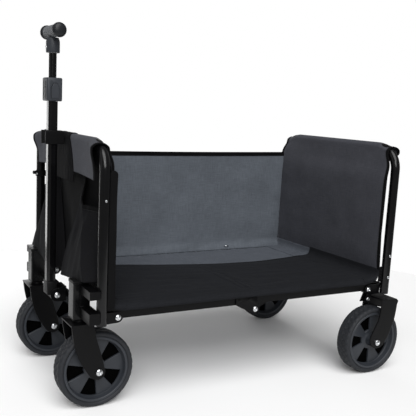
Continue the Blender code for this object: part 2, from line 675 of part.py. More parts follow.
for side_name, side in SIDES:
    caster_housing(side_name, side)
    rail_bracket(f"front_rail_bracket_{side_name}", FRONT_POST_X, front_pin_x, side)
    rail_bracket(f"rear_rail_bracket_{side_name}", REAR_POST_X, rear_pin_x, side, rear_fold, gusset=True)
    hinge_pin(f"front_rail_pin_{side_name}", front_pin_x, HINGE_Z, side)
    hinge_pin(f"rear_rail_pin_{side_name}", rear_pin_x, HINGE_Z, side, rear_fold)
    hinge_pin(f"middle_hinge_pin_{side_name}", MIDDLE_X, MIDDLE_PIN_Z, side, front_fold)
    side_rail(f"front_side_rail_{side_name}", front_pin_x - RAIL_OVERHANG, MIDDLE_X - 0.0006, front_pin_x,
              side, True, front_fold)
    side_rail(f"rear_side_rail_{side_name}", rear_pin_x + RAIL_OVERHANG, MIDDLE_X + 0.0006, rear_pin_x,
              side, False, middle_fold)

    caster_axle = (CASTER_X + CASTER_TRAIL, side * CASTER_Y, WHEEL_R)
    swivel = pivot_at(f"caster_swivel_{side_name}", (CASTER_X, side * CASTER_Y, FORK_TOP_Z))
    wheel_set(f"caster_{side_name}", caster_axle, (CASTER_X - 0.030, CASTER_X + 0.020), swivel,
              stem=(CASTER_X, side * CASTER_Y), phase=math.radians(41.5))
    rear_axle = (REAR_WHEEL_X, side * REAR_WHEEL_Y, WHEEL_R)
    wheel_set(f"rear_{side_name}", rear_axle, (REAR_POST_X - 0.036, REAR_POST_X + 0.0155), rear_fold,
              phase=math.radians(38.0))

cross_tube("front_cross_tube", MIDDLE_X - CROSS_TUBE_OFFSET, front_fold)
cross_tube("rear_cross_tube", MIDDLE_X + CROSS_TUBE_OFFSET, middle_fold)

floor_top = FLOOR_Z + FLOOR_T
fold_low, fold_high = floor_top + GAP, floor_top + GAP + FOLDED_T
halves = (("front", front_fold, front_pin_x + BOARD_END_GAP, MIDDLE_X - 0.0006),
          ("rear", middle_fold, MIDDLE_X + 0.0006, rear_pin_x - BOARD_END_GAP))
for half, pivot, low_x, high_x in halves:
    board = box((low_x, -FLOOR_HALF_Y, FLOOR_Z), (high_x, FLOOR_HALF_Y, floor_top))
    finish(board, f"{half}_floor_board", "grey_fabric", pivot)
    folded = box((low_x, -FLOOR_HALF_Y, fold_low), (high_x, FOLDED_FAR_Y, fold_high))
    finish(folded, f"{half}_near_panel", "black_fabric", pivot)

panel = box((FRONT_POST_X + SIDE_PANEL_CLEAR[0], SIDE_PANEL_Y - SIDE_PANEL_T / 2, floor_top + GAP),
            (REAR_POST_X - SIDE_PANEL_CLEAR[1], SIDE_PANEL_Y + SIDE_PANEL_T / 2, SIDE_PANEL_TOP_Z))
finish(panel, "far_side_panel", "grey_fabric")

handle(tilt_axis, slide_axis, press_axis)
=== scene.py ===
import json
import math

import bmesh
import bpy
import numpy as np
from mathutils import Matrix, Vector

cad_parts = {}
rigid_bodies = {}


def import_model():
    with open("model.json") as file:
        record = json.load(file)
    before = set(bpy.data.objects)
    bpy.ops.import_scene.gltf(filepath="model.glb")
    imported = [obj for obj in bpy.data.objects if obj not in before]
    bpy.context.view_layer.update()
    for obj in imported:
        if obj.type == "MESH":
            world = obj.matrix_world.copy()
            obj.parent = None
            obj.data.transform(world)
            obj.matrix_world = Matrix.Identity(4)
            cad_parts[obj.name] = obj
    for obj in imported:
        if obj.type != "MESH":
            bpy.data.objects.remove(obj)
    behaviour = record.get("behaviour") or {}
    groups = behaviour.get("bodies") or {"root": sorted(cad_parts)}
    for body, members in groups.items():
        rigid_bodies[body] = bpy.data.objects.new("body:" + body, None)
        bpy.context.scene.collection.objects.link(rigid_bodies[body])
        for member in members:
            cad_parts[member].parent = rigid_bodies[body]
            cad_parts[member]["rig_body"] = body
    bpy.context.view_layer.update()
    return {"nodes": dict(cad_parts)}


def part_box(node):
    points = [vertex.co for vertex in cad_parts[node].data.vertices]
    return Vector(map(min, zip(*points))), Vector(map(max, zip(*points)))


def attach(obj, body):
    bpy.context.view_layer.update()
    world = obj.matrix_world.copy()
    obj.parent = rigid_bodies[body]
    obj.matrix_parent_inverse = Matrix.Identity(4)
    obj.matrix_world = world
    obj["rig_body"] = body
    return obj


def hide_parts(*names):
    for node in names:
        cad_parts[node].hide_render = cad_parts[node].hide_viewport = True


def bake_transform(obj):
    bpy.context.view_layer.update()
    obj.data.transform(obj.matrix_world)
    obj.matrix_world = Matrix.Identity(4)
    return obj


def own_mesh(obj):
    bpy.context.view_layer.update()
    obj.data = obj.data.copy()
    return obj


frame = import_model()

mm = 0.001
nodes = frame["nodes"]


sides = (("near", -1), ("far", 1))


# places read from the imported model
def boxOf(node):
    low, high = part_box(node)
    return np.array(low), np.array(high)


def middleOf(node):
    return sum(boxOf(node)) / 2


frontLow, frontHigh = boxOf("front_frame")
rearLow, rearHigh = boxOf("rear_frame")
tubeR = (frontHigh[0] - frontLow[0]) / 2
frontX = (frontLow[0] + frontHigh[0]) / 2
rearX = (rearLow[0] + rearHigh[0]) / 2
postY = frontHigh[1] - tubeR
barZ = frontHigh[2] - tubeR
footZ = frontLow[2]
floorLow, floorHigh = boxOf("front_floor_board")[0], boxOf("rear_floor_board")[1]
foldedLow, foldedHigh = boxOf("front_near_panel")[0], boxOf("rear_near_panel")[1]
middleX = middleOf("middle_hinge_pin_near")[0]
print("frame read")


# materials
def linear(code):
    # sRGB hex to linear light: low values are divided by 12.92, the rest raised to 2.4
    c = np.array([int(code[i:i + 2], 16) for i in (1, 3, 5)]) / 255
    c = np.where(c <= 0.04045, c / 12.92, ((c + 0.055) / 1.055) ** 2.4)
    return (*c.tolist(), 1.0)


def addNode(tree, kind, links=None, **settings):
    # one shader node: a setting is a property if the node has it and an input's value if not
    node = tree.nodes.new("ShaderNode" + kind)
    for key, value in settings.items():
        if hasattr(node, key):
            setattr(node, key, value)
        else:
            node.inputs[key.replace("_", " ")].default_value = value
    for key, output in (links or {}).items():
        tree.links.new(output, node.inputs[key])
    return node


def newMaterial(name, colour, **sockets):
    # the shader with its constant values on its own sockets, and where its nodes go
    material = bpy.data.materials.new(name)
    material.use_nodes = True
    tree = material.node_tree
    shader = tree.nodes["Principled BSDF"]
    shader.inputs["Base Color"].default_value = linear(colour)
    for key, value in sockets.items():
        shader.inputs[key.replace("_", " ")].default_value = value
    return material, tree, shader


def mottle(tree, source, colour, spread, cell):
    # the colour made a little lighter and darker in soft patches about one cell wide
    noise = addNode(tree, "TexNoise", {"Vector": source}, Scale=1 / cell, Detail=4.0, Roughness=0.6)
    low = tuple(c * (1 - spread) for c in linear(colour)[:3]) + (1.0,)
    high = tuple(min(1.0, c * (1 + spread)) for c in linear(colour)[:3]) + (1.0,)
    ramp = addNode(tree, "ValToRGB", {"Fac": noise.outputs["Fac"]})
    ramp.color_ramp.elements[0].position = 0.3
    ramp.color_ramp.elements[1].position = 0.7
    ramp.color_ramp.elements[0].color = low
    ramp.color_ramp.elements[1].color = high
    return ramp.outputs["Color"]


def hardFinish(name, colour, roughness, patch, grain, bump, worn=None, **sockets):
    # patch is the spread and size of the colour's patches, grain the size, detail and roughness of the
    # fine texture, bump its strength and depth, and worn the size, detail and roughness of handling
    # marks with the least and most gloss they leave
    material, tree, shader = newMaterial(name, colour, Roughness=roughness, **sockets)
    place = addNode(tree, "TexCoord").outputs["Object"]
    tree.links.new(mottle(tree, place, colour, *patch), shader.inputs["Base Color"])
    size, detail, rough = grain
    texture = addNode(tree, "TexNoise", {"Vector": place}, Scale=1 / size, Detail=detail, Roughness=rough)
    skin = addNode(tree, "Bump", {"Height": texture.outputs["Fac"]}, Strength=bump[0], Distance=bump[1])
    tree.links.new(skin.outputs["Normal"], shader.inputs["Normal"])
    if worn:
        size, detail, rough, least, most = worn
        marks = addNode(tree, "TexNoise", {"Vector": place}, Scale=1 / size, Detail=detail, Roughness=rough)
        shine = addNode(tree, "MapRange", {"Value": marks.outputs["Fac"]}, To_Min=roughness * least,
                        To_Max=min(1.0, roughness * most))
        tree.links.new(shine.outputs["Result"], shader.inputs["Roughness"])
    return material


def coatedMetal(name, colour, roughness, gloss):
    # powder-coated steel: a glossy paint skin, faintly dimpled about every 1.5 mm, over the metal
    return hardFinish(name, colour, roughness, (0.18, 60 * mm), (1.5 * mm, 2.0, 0.5), (0.22, 0.15 * mm),
                      (35 * mm, 6.0, 0.7, 0.75, 1.4), IOR=1.52, Specular_IOR_Level=gloss)


def mouldedPlastic(name, colour, roughness, grain, strength, gloss=0.32):
    # injection-moulded plastic or rubber: an even colour with a fine spark-eroded grain
    return hardFinish(name, colour, roughness, (0.10, 25 * mm), (grain, 3.0, 0.65), (strength, 0.2 * mm),
                      (12 * mm, 5.0, 0.5, 0.85, 1.2), IOR=1.49, Specular_IOR_Level=gloss)


def bareMetal(name, colour, roughness):
    # zinc-plated steel: bright metal with fine turning marks
    return hardFinish(name, colour, roughness, (0.08, 4 * mm), (0.6 * mm, 3.0, 0.5), (0.12, 0.1 * mm),
                      Metallic=1.0)


def wovenCloth(name, colour, spacing, depth, sheen):
    # plain-woven polyester: warp and weft go over and under each other in turn
    material, tree, shader = newMaterial(name, colour, Roughness=0.85, IOR=1.45, Specular_IOR_Level=0.1,
                                         Sheen_Weight=sheen, Sheen_Roughness=0.45)
    shader.inputs["Sheen Tint"].default_value = linear("#B9BCC4")
    weave = addNode(tree, "TexCoord").outputs["UV"]
    # a wave texture of scale k repeats every 0.314 / k, and plain weave repeats every two threads
    scale = 0.314 / (2 * spacing)
    waves = [addNode(tree, "TexWave", {"Vector": weave}, bands_direction=way, Scale=scale, Distortion=0.0)
             for way in "XY"]
    over = addNode(tree, "Math", {i: wave.outputs["Fac"] for i, wave in enumerate(waves)},
                   operation="SUBTRACT")
    cross = addNode(tree, "Math", {0: over.outputs["Value"]}, operation="ABSOLUTE")
    # yarns vary in thickness along their length, which shows as short streaks both ways
    slub = 0.16
    long, thin = 1 / (30 * mm), 1 / (2 * mm)
    drawn = [addNode(tree, "Mapping", {"Vector": weave}, Scale=scales)
             for scales in ((long, thin, 1.0), (thin, long, 1.0))]
    streak = [addNode(tree, "TexNoise", {"Vector": node.outputs["Vector"]}, Scale=1.0, Detail=3.0)
              for node in drawn]
    streaks = addNode(tree, "Math", {i: node.outputs["Fac"] for i, node in enumerate(streak)},
                      operation="ADD")
    tone = addNode(tree, "MapRange", {"Value": streaks.outputs["Value"]}, From_Min=0.7, From_Max=1.3,
                   To_Min=1 - slub, To_Max=1 + slub)
    shadow = addNode(tree, "MapRange", {"Value": cross.outputs["Value"]}, To_Min=0.80, To_Max=1.10)
    level = addNode(tree, "Math", {0: tone.outputs["Result"], 1: shadow.outputs["Result"]},
                    operation="MULTIPLY")
    patch = mottle(tree, weave, colour, 0.07, 70 * mm)
    shaded = addNode(tree, "VectorMath", {0: patch, "Scale": level.outputs["Value"]}, operation="SCALE")
    tree.links.new(shaded.outputs["Vector"], shader.inputs["Base Color"])
    bump = addNode(tree, "Bump", {"Height": cross.outputs["Value"]}, Strength=depth, Distance=0.25 * mm)
    # small puckers, about 22 mm across, that any sewn cloth keeps
    pucker = addNode(tree, "TexNoise", {"Vector": weave}, Scale=1 / (22 * mm), Detail=4.0, Roughness=0.55)
    soft = addNode(tree, "Bump", {"Height": pucker.outputs["Fac"], "Normal": bump.outputs["Normal"]},
                   Strength=0.30, Distance=1.2 * mm)
    tree.links.new(soft.outputs["Normal"], shader.inputs["Normal"])
    return material


# thread spacing of 600-denier cloth is about 0.5 mm, and it is drawn at 1.1 mm so that it shows
clothThread = 1.1 * mm
blackCoat = coatedMetal("blackPowderCoat", "#070708", 0.18, 0.30)
housingCoat = coatedMetal("satinBlackHousingCoat", "#070708", 0.24, 0.20)
plateCoat = coatedMetal("satinBlackPlateCoat", "#060607", 0.34, 0.13)
zincPlate = bareMetal("zincPlatedSteel", "#C9CBCD", 0.28)
wheelPlastic = mouldedPlastic("greyPolypropylene", "#2C2F34", 0.42, 0.9 * mm, 0.25)
# near-black and nearly without shine: painted shade for the open wheel windows
windowShadeSheet = mouldedPlastic("windowPaintedShadePolypropylene", "#010101", 0.75, 0.9 * mm, 0.25, 0.03)
tyreRubber = mouldedPlastic("greyTyreRubber", "#1F2125", 0.62, 1.3 * mm, 0.40)
handlePlastic = mouldedPlastic("greyGlassFilledNylon", "#34373C", 0.40, 0.8 * mm, 0.22)
knobPlastic = mouldedPlastic("darkGreyNylon", "#1B1D20", 0.40, 0.8 * mm, 0.22)
blackPlastic = mouldedPlastic("blackNylon", "#0A0A0B", 0.45, 0.8 * mm, 0.20, 0.16)
gripRubber = mouldedPlastic("softGripRubber", "#5F6164", 0.55, 0.7 * mm, 0.30)
# one slate oxford fabric in two tones: the far panel's copy is lighter as painted light, the floor's copy
# darker as painted shade
litSlateCloth = wovenCloth("litSlateOxfordCloth", "#5C6168", clothThread, 0.35, 0.08)
shadedSlateCloth = wovenCloth("shadedSlateOxfordCloth", "#50545B", clothThread, 0.35, 0.06)
charcoalCloth = wovenCloth("charcoalOxfordCloth", "#45464C", clothThread, 0.40, 0.10)
flapCloth = wovenCloth("greyOxfordCloth", "#47484D", clothThread, 0.40, 0.10)
pouchCloth = wovenCloth("blackPouchCloth", "#121214", clothThread, 0.40, 0.02)
blackCloth = wovenCloth("blackOxfordCloth", "#0D0D0E", clothThread, 0.40, 0.015)
panelCloth = wovenCloth("softBlackOxfordCloth", "#1C1D20", clothThread, 0.40, 0.03)
blackTape = wovenCloth("blackBindingTape", "#09090A", 1.6 * mm, 0.8, 0.02)
threadFinish = mouldedPlastic("polyesterThread", "#26272A", 0.6, 0.5 * mm, 0.3)
print("materials made")


# shapes
def smoothStep(a, b, x):
    # 0 before a, 1 after b and an S-shaped rise between them: 3t^2 - 2t^3
    t = np.clip((np.asarray(x, float) - a) / (b - a), 0, 1)
    return t * t * (3 - 2 * t)


def runOf(points):
    # how far along a line each of its points lies
    return np.append(0, np.cumsum(np.linalg.norm(np.diff(points, axis=0), axis=1)))


def capped(grid):
    # the first and the last loop of a grid each drawn together to its middle, which closes the ends
    ends = [np.broadcast_to(grid[i].mean(0), grid[:1].shape) for i in (0, -1)]
    return np.concatenate([ends[0], grid, ends[1]])


def gridOf(x, y, z):
    # three arrays of coordinates stretched to one grid of points
    return np.stack(np.broadcast_arrays(x, y, z), 2)


def mirrored(half):
    # a closed section: the given half, then the same points with their heights turned over
    return [*half, *[(r, -y) for r, y in half[::-1]], half[0]]


def smoothPath(controls, count):
    # a cubic through the control points, read again at equal steps of its length
    p = np.asarray(controls, float)
    m = np.gradient(p, axis=0)
    t = np.linspace(0, len(p) - 1, 40 * len(p))
    i = np.minimum(t.astype(int), len(p) - 2)
    f = (t - i)[:, None]
    curve = ((2 * f**3 - 3 * f**2 + 1) * p[i] + (f**3 - 2 * f**2 + f) * m[i]
             + (3 * f**2 - 2 * f**3) * p[i + 1] + (f**3 - f**2) * m[i + 1])
    run = runOf(curve)
    at = np.linspace(0, run[-1], count)
    return np.stack([np.interp(at, run, curve[:, k]) for k in range(p.shape[1])], 1)


def arcPoints(centre, radius, start, end, count):
    # centre plus radius times (cosine, sine) of an angle that goes evenly from start to end, in degrees
    a = np.radians(np.linspace(start, end, count))
    return np.stack([centre[0] + radius * np.cos(a), centre[1] + radius * np.sin(a)], 1)


def roundedLoop(width, height, power, count):
    # a superellipse: cosine and sine each raised to a power below 1 square up its corners
    a = np.linspace(0, 2 * np.pi, count + 1)
    c, s = np.cos(a), np.sin(a)
    return np.stack([width / 2 * np.sign(c) * np.abs(c) ** power,
                     height / 2 * np.sign(s) * np.abs(s) ** power], 1)


def lengthUv(points):
    # distances in metres along the rows and along the columns of a grid, for a pattern that follows it
    across = np.linalg.norm(np.diff(points, axis=1), axis=2)
    along = np.linalg.norm(np.diff(points, axis=0), axis=2)
    u = np.concatenate([np.zeros((len(points), 1)), np.cumsum(across, 1)], 1)
    v = np.concatenate([np.zeros((1, points.shape[1])), np.cumsum(along, 0)], 0)
    return np.stack([u, v], 2)


def sweep(path, profile, side, closeEnds=True, sizes=None):
    # the profile carried along the path: its first number is along side, its second across it
    path, side = np.asarray(path, float), np.asarray(side, float)
    along = np.gradient(path, axis=0)
    along /= np.linalg.norm(along, axis=1)[:, None]
    first = side - (along @ side)[:, None] * along
    first /= np.linalg.norm(first, axis=1)[:, None]
    second = np.cross(along, first)
    size = np.ones(len(path)) if sizes is None else np.asarray(sizes, float)
    grid = (path[:, None] + size[:, None, None] * (profile[None, :, :1] * first[:, None]
                                                  + profile[None, :, 1:] * second[:, None]))
    if closeEnds:
        ends = [np.broadcast_to(path[i], grid[:1].shape) for i in (0, -1)]
        grid = np.concatenate([ends[0], grid, ends[1]])
    return grid


def turned(profile, centre, axis="Y", steps=64):
    # each (radius, height) pair of the profile turned once round an axis through centre
    a = np.linspace(0, 2 * np.pi, steps + 1)[:, None]
    r, h = np.asarray(profile, float).T
    c, s, t = r * np.cos(a), r * np.sin(a), np.broadcast_to(h, (steps + 1, len(h)))
    order = {"X": (t, c, s), "Y": (s, t, c), "Z": (c, s, t)}[axis]
    return np.stack(order, 2) + np.asarray(centre, float)


def addObject(name, data):
    obj = bpy.data.objects.new(name, data)
    bpy.context.scene.collection.objects.link(obj)
    return obj


def makePiece(name, grids, material, body=None, replaces=(), smooth=35):
    # every grid is one surface: its cells become quads, and seams and poles are welded
    verts, faces, uvs, base = [], [], [], 0
    for grid in grids:
        rows, cols = grid.shape[:2]
        index = base + np.arange(rows * cols).reshape(rows, cols)
        quads = np.stack([index[:-1, :-1], index[:-1, 1:], index[1:, 1:], index[1:, :-1]], 2)
        verts.append(grid.reshape(-1, 3))
        faces.append(quads.reshape(-1, 4))
        uvs.append(lengthUv(grid).reshape(-1, 2))
        base += rows * cols
    verts, faces, uvs = np.concatenate(verts), np.concatenate(faces), np.concatenate(uvs)
    mesh = bpy.data.meshes.new(name)
    mesh.from_pydata(verts.tolist(), [], faces.tolist())
    layer = mesh.uv_layers.new(name="cloth")
    loops = np.empty(len(mesh.loops), np.int32)
    mesh.loops.foreach_get("vertex_index", loops)
    layer.data.foreach_set("uv", uvs[loops].astype(np.float32).ravel())
    bm = bmesh.new()
    bm.from_mesh(mesh)
    bmesh.ops.remove_doubles(bm, verts=bm.verts, dist=0.01 * mm)
    if all(edge.is_manifold for edge in bm.edges):
        bmesh.ops.recalc_face_normals(bm, faces=bm.faces)
    bm.to_mesh(mesh)
    bm.free()
    mesh.materials.append(material)
    obj = addObject(name, mesh)
    mesh.shade_smooth()
    if smooth < 180:
        mesh.set_sharp_from_angle(angle=math.radians(smooth))
    return dress(obj, body, replaces)


def dress(obj, body=None, replaces=()):
    if body is not None:
        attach(obj, body)
    if replaces:
        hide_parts(*replaces)
    return obj


def thicken(obj, thickness, offset=0.0):
    mod = obj.modifiers.new("thickness", "SOLIDIFY")
    mod.thickness = thickness
    mod.offset = offset
    return obj


def eased(node, width, material):
    # a welded copy of a CAD piece with its sharp edges rounded as paint and moulds round them
    source = nodes[node]
    mesh = source.data.copy()
    bm = bmesh.new()
    bm.from_mesh(mesh)
    bmesh.ops.remove_doubles(bm, verts=bm.verts, dist=0.01 * mm)
    bmesh.ops.dissolve_limit(bm, angle_limit=math.radians(1.0), verts=bm.verts, edges=bm.edges)
    bm.to_mesh(mesh)
    bm.free()
    mesh.materials.clear()
    mesh.materials.append(material)
    obj = addObject(node + "_eased", mesh)
    mod = obj.modifiers.new("edges", "BEVEL")
    mod.width = width
    mod.segments = 2
    mod.limit_method = "ANGLE"
    mod.angle_limit = math.radians(35)
    mod.use_clamp_overlap = True
    mesh.shade_smooth()
    mesh.set_sharp_from_angle(angle=math.radians(50))
    return dress(obj, source["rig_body"], [node])


def edgeOf(grid, side):
    # the points of one edge of a sheet, the way inward from it and the way out of the cloth
    turn = {"first": grid, "last": grid[::-1], "left": grid.swapaxes(0, 1),
            "right": grid.swapaxes(0, 1)[::-1]}[side]
    points, inward = turn[0], turn[2] - turn[0]
    inward = inward / np.linalg.norm(inward, axis=1)[:, None]
    along = np.gradient(points, axis=0)
    along /= np.linalg.norm(along, axis=1)[:, None]
    out = np.cross(along, inward)
    return points, inward, out / np.linalg.norm(out, axis=1)[:, None]


def bindingGrid(edge, width, thickness, reach=0.0):
    # a flat rounded loop carried along a sheet's edge, folded over it from both faces
    points, inward, out = edge
    loop = roundedLoop(width, thickness, 0.45, 16)
    grid = (points[:, None] + (loop[None, :, :1] + width / 2 - reach) * inward[:, None]
            + loop[None, :, 1:] * out[:, None])
    return capped(grid)


stitch = {"length": 3.6 * mm, "gap": 1.6 * mm, "radius": 0.35 * mm, "arch": 0.55 * mm, "dip": 0.25 * mm}


def stitchGrids(edge, inset, lift):
    # each stitch is a short six-sided thread whose ends dip into the cloth: its height is a sine of
    # its length
    points, inward, out = edge
    line = points + inset * inward + lift * out
    run = runOf(line)
    length = stitch["length"]
    starts = np.arange(length, run[-1] - 2 * length, length + stitch["gap"])
    t = np.linspace(0, 1, 5)
    at = starts[:, None] + t * length
    spot = np.stack([np.interp(at, run, line[:, k]) for k in range(3)], 2)
    up = np.stack([np.interp(at, run, out[:, k]) for k in range(3)], 2)
    across = np.stack([np.interp(at, run, inward[:, k]) for k in range(3)], 2)
    height = (stitch["arch"] * np.sin(np.pi * t) - stitch["dip"])[None, :, None]
    a = np.linspace(0, 2 * np.pi, 7)
    ring = np.cos(a)[:, None] * up[:, :, None] + np.sin(a)[:, None] * across[:, :, None]
    return (spot + height * up)[:, :, None] + stitch["radius"] * ring


def ripple(seed, shape, cell, amount):
    # smooth noise: random heights on a coarse grid, read between with S-shaped steps both ways
    rng = np.random.default_rng(seed)
    rows, cols = shape
    coarse = rng.uniform(-1, 1, (max(2, int(rows / cell[0])) + 2, max(2, int(cols / cell[1])) + 2))
    y = np.linspace(0, coarse.shape[0] - 1.001, rows)
    x = np.linspace(0, coarse.shape[1] - 1.001, cols)
    iy, ix = y.astype(int), x.astype(int)
    fy, fx = smoothStep(0, 1, y - iy)[:, None], smoothStep(0, 1, x - ix)[None]
    a, b = coarse[iy][:, ix], coarse[iy][:, ix + 1]
    c, d = coarse[iy + 1][:, ix], coarse[iy + 1][:, ix + 1]
    return amount * ((a * (1 - fx) + b * fx) * (1 - fy) + (c * (1 - fx) + d * fx) * fy)


# end frames
endFrame = {"bendR": 0.055, "sides": 28, "bendSteps": 20, "slot": "frame_steel"}


def bentTube(x):
    # up one post, a quarter circle, across, a quarter circle and down the other post
    r = endFrame["bendR"]
    flat, high = postY - r, barZ - r
    far = arcPoints((flat, high), r, 0, 90, endFrame["bendSteps"])
    line = np.concatenate([[(postY, footZ)], [(postY, footZ + 0.15)], far, (far * (-1, 1))[::-1],
                           [(-postY, footZ + 0.15)], [(-postY, footZ)]])
    return np.column_stack([np.full(len(line), x), line])


for name, x, body in (("front_frame", frontX, "front_end"), ("rear_frame", rearX, "rear_end")):
    tube = sweep(bentTube(x), roundedLoop(2 * tubeR, 2 * tubeR, 1.0, endFrame["sides"]), (1, 0, 0))
    makePiece(name + "_tube", [tube], blackCoat, body, [name])

for name in ("front_crossbar", "rear_crossbar", "front_cross_tube", "rear_cross_tube"):
    low, high = boxOf(name)
    centre, radius = (low + high) / 2, (high[2] - low[2]) / 2
    half = (high[1] - low[1]) / 2
    rod = [(0, -half), (radius - 0.8 * mm, -half), (radius, 0.8 * mm - half), (radius, half - 0.8 * mm),
           (radius - 0.8 * mm, half), (0, half)]
    makePiece(name + "_bar", [turned(rod, centre, "Y", 32)], blackCoat, nodes[name]["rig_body"],
              [name])
print("end frames made")


# brackets, rails, forks and housings
easing = {"forkEdge": 0.9 * mm, "railEdge": 0.7 * mm, "plateEdge": 0.5 * mm}
for side in ("near", "far"):
    for name in (f"caster_{side}_fork", f"rear_{side}_fork"):
        eased(name, easing["forkEdge"], plateCoat)
    for name in (f"front_side_rail_{side}", f"rear_side_rail_{side}"):
        eased(name, easing["railEdge"], plateCoat)
    for name in (f"front_rail_bracket_{side}", f"rear_rail_bracket_{side}", f"caster_bracket_{side}"):
        eased(name, easing["plateEdge"], plateCoat)
eased("handle_bracket", easing["plateEdge"], plateCoat)

# the curved cheeks of the forks: edges in millimetres from the axle, from the top plate down to the foot
cheek = {"thickness": 3.4 * mm, "fromMiddle": 34 * mm, "rows": 70,
         "caster": {"left": [(-64.5, 113.3), (-63.5, 98), (-57.5, 66), (-47, 35), (-31, 7), (-16, -13),
                             (-0.4, -18)],
                    "right": [(-15, 113.3), (-12, 104), (-6.5, 77), (2.8, 47), (9.6, 24), (14.5, -2),
                              (10, -13), (-0.4, -18)]},
         "rear": {"left": [(5.5, 113.3), (4.8, 93), (0.4, 63), (-10.7, 40), (-21.5, 18), (-23, 4.5),
                           (-16, -9.6), (-1.1, -17.2)],
                  "right": [(55.5, 113.3), (60, 108), (59.7, 94), (56.2, 66), (52.4, 50), (46, 33), (35, 8),
                            (18, -12), (-1.1, -17.2)]}}


def cheekGrid(shape, centre, y):
    # at each level a thin rounded loop reaches from the left edge to the right edge
    left, right = (smoothPath(np.array(cheek[shape][edge]) * mm, cheek["rows"]) for edge in ("left", "right"))
    loop = roundedLoop(1.0, cheek["thickness"], 0.25, 40)
    level = left[:, None] + (right - left)[:, None] * (loop[None, :, :1] + 0.5)
    return capped(gridOf(centre[0] + level[..., 0], y + loop[:, 1], centre[2] + level[..., 1]))


for shape in ("caster", "rear"):
    for side in ("near", "far"):
        centre = middleOf(f"{shape}_{side}_axle_bolt")
        cheeks = [cheekGrid(shape, centre, centre[1] + way * cheek["fromMiddle"]) for way in (-1, 1)]
        makePiece(f"{shape}_{side}_fork_cheeks", cheeks, plateCoat,
                  nodes[f"{shape}_{side}_fork"]["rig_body"], smooth=40)

housing = {"corner": 0.16, "groove": 1.1 * mm, "grooveHalf": 1.3 * mm, "capH": 4.5 * mm, "capLip": 1.0 * mm}


def housingGrids(low, high):
    # a square tube with tight corners: one superellipse loop at each level, a groove pressed down its
    # near and far faces and a thin cap with a chamfered edge on top
    width, depth = high[0] - low[0], high[1] - low[1]
    cx, cy = (low[:2] + high[:2]) / 2
    loop = roundedLoop(width, depth, housing["corner"], 160)
    fromGroove = np.abs(loop[:, 0] - 0.18 * width)
    groove = smoothStep(2 * housing["grooveHalf"], housing["grooveHalf"], fromGroove)
    groove = groove * (np.abs(loop[:, 1]) > depth / 2 - 1 * mm) * housing["groove"] * np.sign(loop[:, 1])
    levels = [(low[2], 0), (low[2], 0.97), (low[2] + 1 * mm, 1), (low[2] + 3 * mm, 1), (low[2] + 5 * mm, 1),
              (high[2] - housing["capH"], 1), (high[2] - housing["capH"], 0)]
    body = [np.column_stack([cx + k * loop[:, 0], cy + k * (loop[:, 1] - groove * (2 < i < 5)),
                             np.full(len(loop), z)]) for i, (z, k) in enumerate(levels)]
    lip = roundedLoop(width + 2 * housing["capLip"], depth + 2 * housing["capLip"], housing["corner"], 160)
    base, top = high[2] - housing["capH"] + 0.1 * mm, high[2] + 1.5 * mm
    capLevels = [(base, 0), (base, 1), (top - 1.2 * mm, 1), (top - 0.3 * mm, 0.96), (top, 0.92), (top, 0)]
    cap = [np.column_stack([cx + k * lip[:, 0], cy + k * lip[:, 1], np.full(len(lip), z)])
           for z, k in capLevels]
    return np.array(body), np.array(cap)


for side in ("near", "far"):
    body, cap = housingGrids(*boxOf(f"caster_housing_{side}"))
    makePiece(f"caster_housing_{side}_tube", [body], housingCoat, "front_end",
              [f"caster_housing_{side}"], smooth=30)
    makePiece(f"caster_housing_{side}_cap", [cap], blackPlastic, "front_end", smooth=30)
print("steelwork made")


# fasteners
fastener = {"rimRound": 0.7 * mm, "dome": 1.6 * mm, "socketR": 2.2 * mm, "socketDepth": 1.6 * mm,
            "shankR": 4 * mm, "axle": (7.5 * mm, 4.5 * mm), "pin": (6.5 * mm, 3 * mm),
            "pivot": (6.8 * mm, 3 * mm)}


def boltEnd(face, way, headR, headH):
    # half the lengthwise section of a head with a rounded rim and a blind socket, outward from its face
    f = fastener
    r, top = f["rimRound"], headH + f["dome"]
    section = [(f["shankR"], 0), (headR, 0), (headR, headH - r), (headR - r, headH),
               (headR * 0.62, headH + f["dome"] * 0.6), (f["socketR"] + 0.4 * mm, top),
               (f["socketR"], top - 0.4 * mm), (f["socketR"], top - f["socketDepth"]),
               (0, top - f["socketDepth"])]
    return [(radius, face + way * height) for radius, height in section]


def bolt(name, kind, body):
    # the section of both heads turned once round the bolt's own line
    low, high = boxOf(name)
    headR, headH = fastener[kind]
    half = (high[1] - low[1]) / 2 - headH
    profile = boltEnd(-half, -1, headR, headH)[::-1] + boltEnd(half, 1, headR, headH)
    makePiece(name + "_bright", [turned(profile, (low + high) / 2, "Y", 28)], zincPlate, body,
              [name])


for side in ("near", "far"):
    bolt(f"caster_{side}_axle_bolt", "axle", f"caster_{side}")
    bolt(f"rear_{side}_axle_bolt", "axle", "rear_end")
    bolt(f"front_rail_pin_{side}", "pin", "front_end")
    bolt(f"rear_rail_pin_{side}", "pin", "rear_end")
    bolt(f"middle_hinge_pin_{side}", "pin", "front_floor")
bolt("handle_pivot_bolt", "pivot", "front_end")


def rivet(name, centre, way, radius, height, body):
    # a low dome: radius times cosine against height times sine, on a short straight rim
    a = np.radians(np.linspace(0, 90, 8))
    dome = np.column_stack([radius * np.cos(a), 0.4 * height + 0.6 * height * np.sin(a)])
    profile = np.concatenate([[(0, -1.5 * mm)], [(radius, -1.5 * mm)], dome])
    axis = "XYZ"[int(np.argmax(np.abs(way)))]
    profile[:, 1] *= np.sign(way[int(np.argmax(np.abs(way)))])
    return makePiece(name, [turned(profile, centre, axis, 24)], zincPlate, body)


